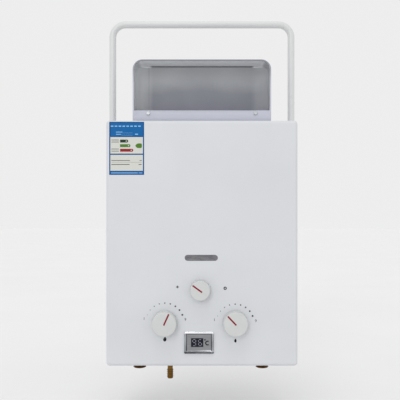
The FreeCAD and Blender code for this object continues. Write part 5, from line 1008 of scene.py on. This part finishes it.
def wrapped_rectangle(x0, z0, x1, z1, lift):
    """A rectangle of film on the casing's front that follows the rounded top edge. Below the height s
    where the fold of radius r starts, it stands its lift l in front of the casing. Above, it lies at
    y = front + r - sqrt((r + l)^2 - (z - s)^2). Its back lies closer by the film's thickness."""
    fold, thick = 0.005, 0.00005
    start = CASE_TOP - fold
    below = [z0] if z0 < start or z1 <= start else []
    above = np.linspace(max(start, z0), z1, 9) if z1 > start else [z1]
    z = np.concatenate([below, above])
    over = np.maximum(z - start, 0)
    y = CASE_FRONT + fold - np.sqrt(np.maximum((fold + lift) ** 2 - over**2, 0))
    under = CASE_FRONT + fold - np.sqrt(np.maximum((fold + lift - thick) ** 2 - over**2, 0))
    outer = np.stack([np.stack([np.full_like(z, x), y, z], -1) for x in (x0, x1)], 1)
    inner = np.stack([np.stack([np.full_like(z, x), under, z], -1) for x in (x1, x0)], 1)
    loop = np.concatenate([outer, inner], 1)
    rows = len(z)
    points = loop.reshape(-1, 3)
    faces = quads(rows, 4, wrap_columns=True).tolist()
    faces += [[0, 1, 2, 3], [4 * rows - 1, 4 * rows - 2, 4 * rows - 3, 4 * rows - 4]]
    return points, faces


# The label is drawn on a grid whose boxes are given as left, top, right and bottom.
LABEL_STEP = 1.536  # millimetres a step of the grid
LABEL_MIDDLE, LABEL_FOOT = 201.9, 366.5  # the grid's column at the casing's middle, its row at the lower edge


class HEATER_OT_label(bpy.types.Operator):
    """Make the blue label with pale panels, plain bars and rules, folded over the casing's top edge"""

    bl_idname = "heater.label"
    bl_label = "Label"

    def execute(self, context):
        def at(px, py):
            """A point of the drawing grid, whose rows are counted downwards, as x and z."""
            return (px - LABEL_MIDDLE) * LABEL_STEP * MM, (LABEL_FOOT - py) * LABEL_STEP * MM + CASE_LOW

        def film(name, boxes, material, lift):
            """Makes one piece of boxes of the grid, each a rectangle of film at the same lift."""
            shapes = []
            for x0, y0, x1, y1 in boxes:
                (left, high), (right, low) = at(x0, y0), at(x1, y1)
                shapes.append(wrapped_rectangle(left, low, right, high, lift))
            piece(name, joined(shapes), material, "heater")

        tone = colours()
        film("label_ground", [(109.2, 121.9, 144.1, 175.1)], glossy_vinyl("label_blue", tone.label), 0.00010)
        heading = glossy_vinyl("label_heading", tone.heading)
        film("label_heading", [(110.9, 123.3, 142.9, 136.2)], heading, 0.00013)
        pale = glossy_vinyl("label_paper", tone.paper)
        film("label_panels", [(110.4, 137.3, 142.9, 153.8), (110.4, 155.1, 142.9, 171.0)], pale, 0.00016)
        light = glossy_vinyl("label_light_rules", linear(150, 196, 230))
        rules = [(110.8 + i * 3.9, 125.9, 113.4 + i * 3.9, 126.9) for i in range(8)]
        rules += [(116, 132.0, 122.4, 132.6), (116, 134.2, 121.2, 134.8), (135, 134.0, 138, 134.9)]
        rules += [(122.8, 133.1, 132.5, 133.25), (121.6, 135.3, 132.5, 135.45)]
        rules += [(111.2, 172.9, 137.6, 173.4), (139.2, 172.9, 142.1, 173.4)]
        film("label_light_rules", rules, light, 0.00018)
        deep = glossy_vinyl("label_foot", linear(52, 112, 178))
        film("label_foot", [(110.6, 172.1, 142.7, 174.1)], deep, 0.00015)
        spots = []
        half_row = 1.45
        for name, colour, row, right in (
            ("dark", linear(34, 52, 36), 141.3, 128.2),
            ("green", linear(76, 120, 42), 145.9, 130.4),
            ("red", linear(146, 34, 40), 150.5, 133.2),
        ):
            (left, high), (tip, low) = at(120.1, row - half_row), at(right, row + half_row)
            half = (high - low) / 2
            outline = [(left, low), (tip, low), (tip, high), (left, high)]
            bars = plate(softened(outline, [0.0002, half, half, 0.0002], 5, True), 0.00014, 0.00022)
            ink = glossy_vinyl(f"label_{name}", colour)
            piece(f"label_{name}_bar", (on_case(bars[0]), bars[1]), ink, "heater")
            spots.append(plate(polygon(half * 0.4, 12) + [tip - half * 1.3, low + half], 0.00020, 0.00026))
        (left, high), (right, low) = at(134.9, 143.6), at(141.9, 148.3)
        half = (high - low) / 2
        outline = [(left, low + half), (left + half, low), (right, low), (right, high), (left + half, high)]
        points, faces = plate(softened(outline, 0.0024, 4, True), 0.00014, 0.00024)
        spots, spot_faces = joined(spots)
        piece("label_bar_spots", (on_case(spots), spot_faces), pale, "heater")
        leaf = glossy_vinyl("label_tag", linear(78, 120, 36))
        piece("label_tag", (on_case(points), faces), leaf, "heater")
        grey = glossy_vinyl("label_grey_rules", linear(106, 106, 104))
        fine = [(111.4, y, 118.8, y + 0.7) for y in (139.9, 141.9, 148.9, 151.0)]
        fine += [(111.4, 160.4, 130, 161.1), (139.6, 160.4, 141.8, 161.1), (111.4, 164.3, 129.6, 165.1)]
        fine += [(138.6, 164.3, 141.6, 165.1), (111.4, 162.4, 141.8, 162.6)]
        film("label_grey_rules", fine, grey, 0.00018)
        return {"FINISHED"}


# A digit's seven segments: across and up in half widths and half heights, and whether it stands upright.
SEGMENTS = {
    "a": (0, 1, 0),
    "b": (1, 0.5, 1),
    "c": (1, -0.5, 1),
    "d": (0, -1, 0),
    "e": (-1, -0.5, 1),
    "f": (-1, 0.5, 1),
    "g": (0, 0, 0),
}
SHOWN = (("abcdfg", -0.0045), ("acdefg", 0.0045))  # the lit segments of a nine and a six, and their places
FIELD_X, FIELD_Z = -0.0073, CASE_LOW + 0.0367
DEGREE = (0.0046, FIELD_Z + 0.0042)
LETTER_C = (0.0086, FIELD_Z - 0.0007)


class HEATER_OT_display(bpy.types.Operator):
    """Make the display: plated frame, lower rail, crystal field, two digits and the degree sign's ring and C.

    The frame is a closed section of (inset, height) carried round a rectangle: at each of its points the
    rectangle is smaller by the inset. The C is the strip between two arcs from 52 to 308 degrees"""

    bl_idname = "heater.display"
    bl_label = "Display"

    def execute(self, context):
        centre, half = middle("display_bezel")
        origin = (centre[0], CASE_FRONT, centre[2])
        frame_wide, frame_tall = half[0], half[2]
        proud = CASE_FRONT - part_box("display_bezel")[0].y
        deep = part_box("display_bezel")[1].y - CASE_FRONT
        section = [
            (0.0, 0.0),
            (0.0, proud * 0.55),
            (0.0008, proud),
            (0.0014, proud),
            (0.0036, proud * 0.62),
            (0.0044, proud * 0.6),
            (0.0044, -deep),
            (0.0028, -deep),
            (0.0028, 0.0),
        ]
        levels = []
        reach = [0.0001, 0.0004, 0.0003, 0.0003, 0.0002, 0.0002, 0, 0, 0]
        for inset, height in softened(section, reach, 3, True):
            corner = max(0.0015 - inset * 0.3, 0.0003)
            levels.append((rectangle(frame_wide - inset, frame_tall - inset, corner), height))
        points, _ = rings(levels)
        faces = quads(len(levels), len(levels[0][0]), wrap_rows=True, wrap_columns=True)
        frame_piece = set_down(points, origin, "front"), faces
        piece("display_frame", frame_piece, finish_of("chrome"), "heater", ["display_bezel"], 28)
        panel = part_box("display_panel")[0].y

        def on_face(shape):
            """A flat shape of (x, z, height) laid on the display's face."""
            return set_down(shape[0], (0, panel, 0), "front"), shape[1]

        field = plate(rectangle(0.00945, 0.00675, 0.0004, 2) + [FIELD_X, FIELD_Z], -0.00005, 0.00008)
        piece("crystal_field", on_face(field), crystal_ground(), "heater")
        # a thin rail along the window's lower edge that carries a painted highlight
        sill_x, sill_z = centre[0], centre[2] - frame_tall + 0.0049
        rail = plate(rectangle(frame_wide - 0.0046, 0.0005, 0.0003, 2) + [sill_x, sill_z], -0.00005, 0.0003)
        piece("display_lower_rail", on_face(rail), sill_painted_highlight(), "heater")
        tall = sizes().digit_height / 2
        wide, stroke = tall * 0.5, tall * 0.12
        segments = []
        for lit, offset in SHOWN:
            for letter in lit:
                u, v, upright = SEGMENTS[letter]
                long = (tall / 2 if upright else wide) - stroke * 1.1
                bit = [(-long, 0), (-long + stroke, -stroke), (long - stroke, -stroke), (long, 0)]
                bit = np.array(bit + [(long - stroke, stroke), (-long + stroke, stroke)])
                bit = bit[:, ::-1] if upright else bit
                middle_of_bit = [FIELD_X + offset + u * wide, FIELD_Z + v * tall]
                segments.append(plate(bit + middle_of_bit, 0.00006, 0.00013))
        piece("display_digits", on_face(joined(segments)), lit_segment(), "heater")
        back, front, steps = -0.00003, 0.00006, 22
        mark = [band(polygon(0.0013, 20) + DEGREE, polygon(0.0004, 20) + DEGREE, back, front)]
        turn = np.radians(np.linspace(52, 308, steps))
        arc = np.column_stack([np.cos(turn), np.sin(turn)])
        outline = np.concatenate([arc * 0.0037, arc[::-1] * 0.0020]) + LETTER_C
        points, walls = rings([(outline, back), (outline, front)])
        pairs = np.arange(steps - 1)
        rear = np.stack([pairs, pairs + 1, 2 * steps - 2 - pairs, 2 * steps - 1 - pairs], -1)
        mark.append((points, walls.tolist() + rear[:, ::-1].tolist() + (rear + 2 * steps).tolist()))
        ink = printed("display_ink", linear(14, 14, 24))
        piece("degree_mark", on_face(joined(mark)), ink, "heater")
        return {"FINISHED"}


CAP_SCREW_X, CAP_SCREW_RISE = 0.087, 0.0207
SIDE_SCREW_Y, SIDE_SCREW_RISES = -0.016, (0.022, 0.064)
# Radius over the corners and height of the head, radius of the washer, radius and reach of the shank.
CASING_SCREW = (0.0032, 0.0016, 0.0034, 0.00155, 0.0068)
HANDLE_NUT_X = 0.1418
SCREW_PITCH = 0.0008


def fastener(where, facing, across, height, washer=0.0, shank=0.0, reach=0.0):
    """A hexagon head of the given corner radius and height, with a washer flange below it and behind it a
    threaded shank of its own radius and reach."""
    profile, swell = hex_head(across, height)
    points, faces = turned(profile, 48, swell)
    shapes = [(set_down(points, where, facing), faces)]
    if washer:
        thick = height * 0.28
        flange = softened([(0, 0), (washer, 0), (washer * 0.96, thick), (0, thick)], 0.0002, 3)
        points, faces = turned(flange, 40)
        shapes.append((set_down(points, where, facing), faces))
    if shank:
        levels = np.arange(-reach, 0.0001, SCREW_PITCH / 6)
        profile = np.column_stack([np.full(len(levels), shank), levels])
        profile = np.concatenate([[(0, -reach)], profile, [(0, levels[-1])]])
        points, faces = turned(profile, 20, threaded(shank, SCREW_PITCH, shank * 0.16, -reach, -0.0015))
        shapes.append((set_down(points, where, facing), faces))
    return joined(shapes)


class HEATER_OT_fasteners(bpy.types.Operator):
    """Make the casing's screws, the cap's screws, the handle's bolts and nuts and the diaphragm's screws"""

    bl_idname = "heater.fasteners"
    bl_label = "Screws and bolts"

    def execute(self, context):
        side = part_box("front_cover")[1].x
        zinc = finish_of("zinc_screw")
        cap_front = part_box("rain_cap")[0].y
        screws = []
        for x in (-CAP_SCREW_X, CAP_SCREW_X):
            screws.append(fastener((x, cap_front, CASE_TOP + CAP_SCREW_RISE), "front", *CASING_SCREW))
        for facing, x in (("left", -side), ("right", side)):
            for rise in SIDE_SCREW_RISES:
                screws.append(fastener((x, SIDE_SCREW_Y, CASE_LOW + rise), facing, *CASING_SCREW))
        piece("casing_screws", joined(screws), zinc, "heater", ["case_screws"], 30)
        centre, half = middle("handle_bolts")
        bolts = []
        for facing, sign in (("left", -1), ("right", 1)):
            head = (sign * (half[0] - 0.003), centre[1], centre[2])
            bolts.append(fastener(head, facing, 0.0048, 0.003, 0, 0.00248, 0.019))
            nut = (sign * HANDLE_NUT_X, centre[1], centre[2])
            bolts.append(fastener(nut, facing, 0.0046, 0.004))
        piece("handle_bolts_and_nuts", joined(bolts), zinc, "heater", ["handle_bolts"], 30)
        centre, _ = middle("diaphragm_screws")
        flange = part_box("diaphragm_screws")[1].x
        heads, circle = [], 0.026
        for angle in np.radians([45, 135, 225, 315]):
            where = (flange, centre[1] + circle * math.cos(angle), centre[2] + circle * math.sin(angle))
            heads.append(fastener(where, "left", 0.0034, 0.0016))
        piece("diaphragm_screw_heads", joined(heads), zinc, "heater", ["diaphragm_screws"], 30)
        return {"FINISHED"}


THREAD_RADIUS, THREAD_DEPTH = 0.0104775, 0.00116  # half inch pipe thread
HEX_LOW, HEX_HIGH = -0.003, 0.0006  # a fitting's hexagon, from the casing's lower edge
CROWN = 0.004  # between the end of a fitting's bore and its inner end
PIPE_X, PIPE_Y = 102.4, -62  # millimetres from the middle and from the back to each upright pipe


def fitting(name, node, hexagon, shank, bore, tip):
    """A turned fitting: one closed profile up the bore, over the tip, along the thread or the barb, round
    the hexagon and up the shank. Heights are from the casing's lower edge."""
    centre, _ = middle(node)
    low, high = (corner.z - CASE_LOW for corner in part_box(node))
    profile = [(0, high - CROWN), (bore, high - CROWN), (bore, low + 0.0006), (bore + 0.0008, low)]
    profile += tip(low)
    profile += [(hexagon, level) for level in (HEX_LOW, -0.0024, -0.0012, 0.0, HEX_HIGH)]
    profile += [(shank, HEX_HIGH), (shank, high - 0.0008), (shank - 0.0008, high), (0, high)]
    thread = threaded(THREAD_RADIUS, sizes().thread_pitch, THREAD_DEPTH, low + 0.0008, -0.0046)

    def swell(angle, level, radius):
        """The hexagon's side within a cone at each edge, then the thread."""
        turned_off = hexagon * 0.9 + np.minimum(level - HEX_LOW, HEX_HIGH - level) * 1.6
        six = np.minimum(hexagonal(angle, hexagon), np.maximum(turned_off, hexagon * HEX_TURNED))
        radius = np.where(np.abs(radius - hexagon) < 1e-7, six, radius)
        return thread(angle, level, radius)

    points, faces = turned(profile, 72, swell)
    shape = set_down(points, (centre[0], centre[1], CASE_LOW)), faces
    return piece(name, shape, finish_of("brass"), "heater", [node], 28)


class HEATER_OT_fittings(bpy.types.Operator):
    """Make the threaded water fittings, the gas hose barb, the drain plug and the pipe nuts"""

    bl_idname = "heater.fittings"
    bl_label = "Pipe fittings"

    def execute(self, context):
        step = sizes().thread_pitch / 8

        def thread_tip(low):
            """Radii and heights of the threaded end, eight for each turn of the thread."""
            levels = np.arange(low + 0.0009, -0.0045, step)
            rows = [(0.0092, low), (THREAD_RADIUS, low + 0.0008)]
            rows += [(THREAD_RADIUS, level) for level in levels]
            return rows + [(THREAD_RADIUS, -0.0044), (0.0091, -0.0038), (0.0091, HEX_LOW)]

        def barb_tip(low):
            """Radii and heights of the barb: four ridges, each a slope up and a short step down."""
            root, ridge = 0.0043, 0.0053
            rows = [(0.0040, low), (root, low + 0.0004)]
            for i in range(4):
                foot = low + 0.0008 + 0.0036 * i
                rows += [(root, foot), (ridge, foot + 0.0026), (ridge, foot + 0.0029), (root, foot + 0.0031)]
            return rows + [(root, -0.006), (0.0052, -0.0052), (0.0052, HEX_LOW)]

        def fluted(angle, level, radius):
            """Fourteen flutes round the grip: the radius falls by a cosine of the angle."""
            return np.where(radius > 0.006, radius - 0.0005 * (1 - np.cos(14 * angle)) / 2, radius)

        fitting("hot_outlet_fitting", "hot_outlet", 0.015, 0.0098, 0.007, thread_tip)
        fitting("cold_inlet_fitting", "cold_inlet", 0.015, 0.0098, 0.007, thread_tip)
        fitting("gas_hose_barb", "gas_inlet_barb", 0.011, 0.0075, 0.0026, barb_tip)
        centre, _ = middle("drain_plug")
        low, high = (corner.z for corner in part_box("drain_plug"))
        collar, top = CASE_LOW + 0.0003 - low, high - low
        grip, stem = 0.0078, 0.005
        profile = [(0, 0), (0.0072, 0), (grip, 0.0014), (grip, collar), (stem, collar), (stem, top), (0, top)]
        points, faces = turned(softened(profile, 0.0005, 4), 112, fluted)
        shape = set_down(points, (centre[0], centre[1], low)), faces
        black = finish_of("black_plastic")
        piece("drain_plug_grip", shape, black, "heater", ["drain_plug"], 30)
        nuts = []
        for foot in from_case((PIPE_X, PIPE_Y, 86), (PIPE_X, PIPE_Y, 108), (-PIPE_X, PIPE_Y, 34)):
            points, faces = turned(*hex_ring(0.009, 0.0051, 0.008))
            nuts.append((set_down(points, foot), faces))
        piece("pipe_union_nuts", joined(nuts), finish_of("brass"), "heater", ["pipe_nuts"], 28)
        return {"FINISHED"}


class HEATER_OT_lid_grip(bpy.types.Operator):
    """Make the grip on the battery lid: a row of round bars, thinner at their ends, half let into the lid"""

    bl_idname = "heater.lid_grip"
    bl_label = "Battery lid grip"

    def execute(self, context):
        low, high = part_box("battery_lid")
        centre, _ = middle("battery_lid")
        span, radius = 0.013, 0.0007
        ribs = []
        for i in range(6):
            y = high.y - 0.010 - 0.0026 * i
            line = np.linspace([centre[0] - span, y, low.z], [centre[0] + span, y, low.z], 5)
            ribs.append(tube(line, radius * np.array([0.6, 1, 1, 1, 0.6]), 12))
        piece("battery_lid_ribs", joined(ribs), finish_of("black_plastic"), "battery_door")
        return {"FINISHED"}


class HEATER_OT_tubes(bpy.types.Operator):
    """Make the water tubes, the wrapped coil and the ignition lead as smooth round tubes.

    Each is a circle carried along straight lines that are joined by arcs"""

    bl_idname = "heater.tubes"
    bl_label = "Tubes and lead"

    def execute(self, context):
        radius = sizes().tube_radius * 0.96  # between the flats and the corners of the solid's eight sides
        copper = finish_of("water_tube")
        first, second, third, fins = -39, -56, -73, 311  # depths of the three finned tubes, their height
        back, front, wrap = -16.6, -95.4, 205  # depths of the coil round the chamber, its height

        def water_tube(name, line, replaced):
            """Makes one piece of a round tube along a line and hands it the solid that it replaces."""
            piece(name, tube(line, radius, 24), copper, "heater", [replaced])

        coil = from_case(
            (PIPE_X, PIPE_Y, 112),
            (PIPE_X, PIPE_Y, wrap),
            (PIPE_X, front, wrap),
            (-PIPE_X, front, wrap),
            (-PIPE_X, back, wrap),
            (112, back, 250),
            (112, first, 250),
            (112, first, fins),
            (97.3, first, fins),
        )
        water_tube("wrapped_coil", arc_path(coil, 0.01), "chamber_coil")
        hot = from_case(
            (-97.3, third, fins),
            (-116, third, fins),
            (-116, third, 92),
            (-PIPE_X, PIPE_Y, 58),
            (-PIPE_X, PIPE_Y, 34),
        )
        water_tube("hot_water_tube", arc_path(hot, 0.012), "hot_pipe")
        riser = from_case((PIPE_X, PIPE_Y, 86), (PIPE_X, PIPE_Y, 100), (PIPE_X, PIPE_Y, 112))
        water_tube("cold_water_tube", riser, "cold_pipe")
        straight = []
        for y, left, right in ((first, -97, 97.3), (second, -97, 97), (third, -97.3, 97)):
            straight.append(tube(from_case((left, y, fins), (0, y, fins), (right, y, fins)), radius, 24))
        piece("finned_tubes", joined(straight), copper, "heater", ["fin_tubes"])
        lead = from_case((128.4, -30.8, 150), (128.4, -113, 150), (42, -113, 168), (42, -99, 168))
        cable = tube(arc_path(lead, 0.009), 0.0015, 16)
        piece("ignition_cable", cable, finish_of("lead_sleeve"), "heater", ["ignition_lead"])
        return {"FINISHED"}


class HEATER_OT_fins(bpy.types.Operator):
    """Make the close row of thin copper fins round the three tubes.

    Each fin is a rounded rectangle. The points of its upper corners are lowered by w (1 + cos(3 pi y / h)),
    with y their place along the fin and h its half depth"""

    bl_idname = "heater.fins"
    bl_label = "Heat exchanger fins"

    def execute(self, context):
        centre, half = middle("fin_stack")
        reach, wave = half[0] - 0.0003, 0.0022
        count = int(2 * reach / sizes().fin_pitch) + 1
        outline = rectangle(half[1], half[2], 0.003, 3)
        upper = outline[:, 1] > half[2] * 0.9
        outline[:, 1] -= wave * upper + wave * np.cos(outline[:, 0] / half[1] * 3 * math.pi) * upper
        fins = []
        for x in np.linspace(-reach, reach, count):
            points, faces = plate(outline, -0.00012, 0.00012)
            fins.append((set_down(points, (centre[0] + x, centre[1], centre[2]), "right"), faces))
        piece("fin_pack", joined(fins), finish_of("copper"), "heater", ["fin_stack"])
        return {"FINISHED"}


class HEATER_OT_finishes(bpy.types.Operator):
    """Give every solid of the model its own finish"""

    bl_idname = "heater.finishes"
    bl_label = "Finishes of the solids"

    def execute(self, context):
        slot_of = {row["node"]: row["material_slot"] for row in frame["record"]["subparts"]}
        for name, node in frame["nodes"].items():
            for slot in node.material_slots:
                slot.material = finish_of(slot_of[name])
        return {"FINISHED"}


SKY = 0.85
# Each lamp's name, the way its light goes, its power and its angle in degrees.
LAMPS = (
    ("key", (0.22, 0.9, -0.32), 0.5, 24),
    ("top", (0.1, 0.35, -0.95), 0.4, 30),
)
FLOOR_RADIUS, FLOOR_THICK, FLOOR_DROP = 60, 0.02, 0.06
EYE = (0, -1.028, -0.128)
LENS, SENSOR = 52.73, 36  # in millimetres
SHIFT = (-0.00475, 0.0625)


class HEATER_OT_stage(bpy.types.Operator):
    """Make the pale floor, the soft studio lights and the camera"""

    bl_idname = "heater.stage"
    bl_label = "Floor, lights and camera"

    def execute(self, context):
        scene = context.scene
        floor = bpy.data.meshes.new("floor")
        points, faces = plate(polygon(FLOOR_RADIUS, 64), -FLOOR_THICK, 0)
        floor.from_pydata((points + [0, 0, cad_low.z - FLOOR_DROP]).tolist(), [], faces)
        floor.materials.append(studio_floor())
        ground = bpy.data.objects.new("floor", floor)
        scene.collection.objects.link(ground)
        world = bpy.data.worlds.new("studio")
        scene.world = world
        world.use_nodes = True
        sky = world.node_tree.nodes["Background"].inputs
        sky["Color"].default_value = (1, 1, 1, 1)
        sky["Strength"].default_value = SKY
        for name, towards, power, spread in LAMPS:
            light = bpy.data.lights.new(name, "SUN")
            light.energy = power
            light.angle = math.radians(spread)
            lamp = bpy.data.objects.new(name, light)
            lamp.rotation_euler = Vector(towards).to_track_quat("-Z", "Y").to_euler()
            scene.collection.objects.link(lamp)
        camera = bpy.data.cameras.new("camera")
        camera.sensor_width = SENSOR
        camera.lens = LENS
        camera.shift_x, camera.shift_y = SHIFT
        camera.clip_start = 0.01
        eye = bpy.data.objects.new("camera", camera)
        eye.location = EYE
        eye.rotation_euler = (math.radians(90), 0, 0)
        scene.collection.objects.link(eye)
        scene.camera = eye
        scene.view_settings.view_transform = "Standard"
        return {"FINISHED"}


OPERATORS = (
    HEATER_OT_stage,
    HEATER_OT_finishes,
    HEATER_OT_handle,
    HEATER_OT_rain_cap,
    HEATER_OT_knobs,
    HEATER_OT_printing,
    HEATER_OT_label,
    HEATER_OT_display,
    HEATER_OT_fasteners,
    HEATER_OT_fittings,
    HEATER_OT_lid_grip,
    HEATER_OT_tubes,
    HEATER_OT_fins,
)


class HEATER_PT_panel(bpy.types.Panel):
    """Sizes, colours and the steps that make the heater's surfaces"""

    bl_label = "Water heater"
    bl_idname = "HEATER_PT_panel"
    bl_space_type = "VIEW_3D"
    bl_region_type = "UI"
    bl_category = "Water heater"

    def draw(self, context):
        for group in (context.scene.heater_sizes, context.scene.heater_colours):
            box = self.layout.box()
            for key in group.__annotations__:
                box.prop(group, key)
        for operator in OPERATORS:
            self.layout.operator(operator.bl_idname)


CLASSES = (HeaterSizes, HeaterColours, *OPERATORS, HEATER_PT_panel)


def register():
    """Makes the classes known and hangs the sizes and colours on the scene."""
    for each in CLASSES:
        bpy.utils.register_class(each)
    bpy.types.Scene.heater_sizes = bpy.props.PointerProperty(type=HeaterSizes)
    bpy.types.Scene.heater_colours = bpy.props.PointerProperty(type=HeaterColours)


def unregister():
    """Undoes what register did, in the opposite order."""
    del bpy.types.Scene.heater_colours
    del bpy.types.Scene.heater_sizes
    for each in reversed(CLASSES):
        bpy.utils.unregister_class(each)


def main():
    """Make everything in order."""
    register()
    for operator in OPERATORS:
        group, name = operator.bl_idname.split(".")
        getattr(getattr(bpy.ops, group), name)()


if __name__ == "__main__":
    main()
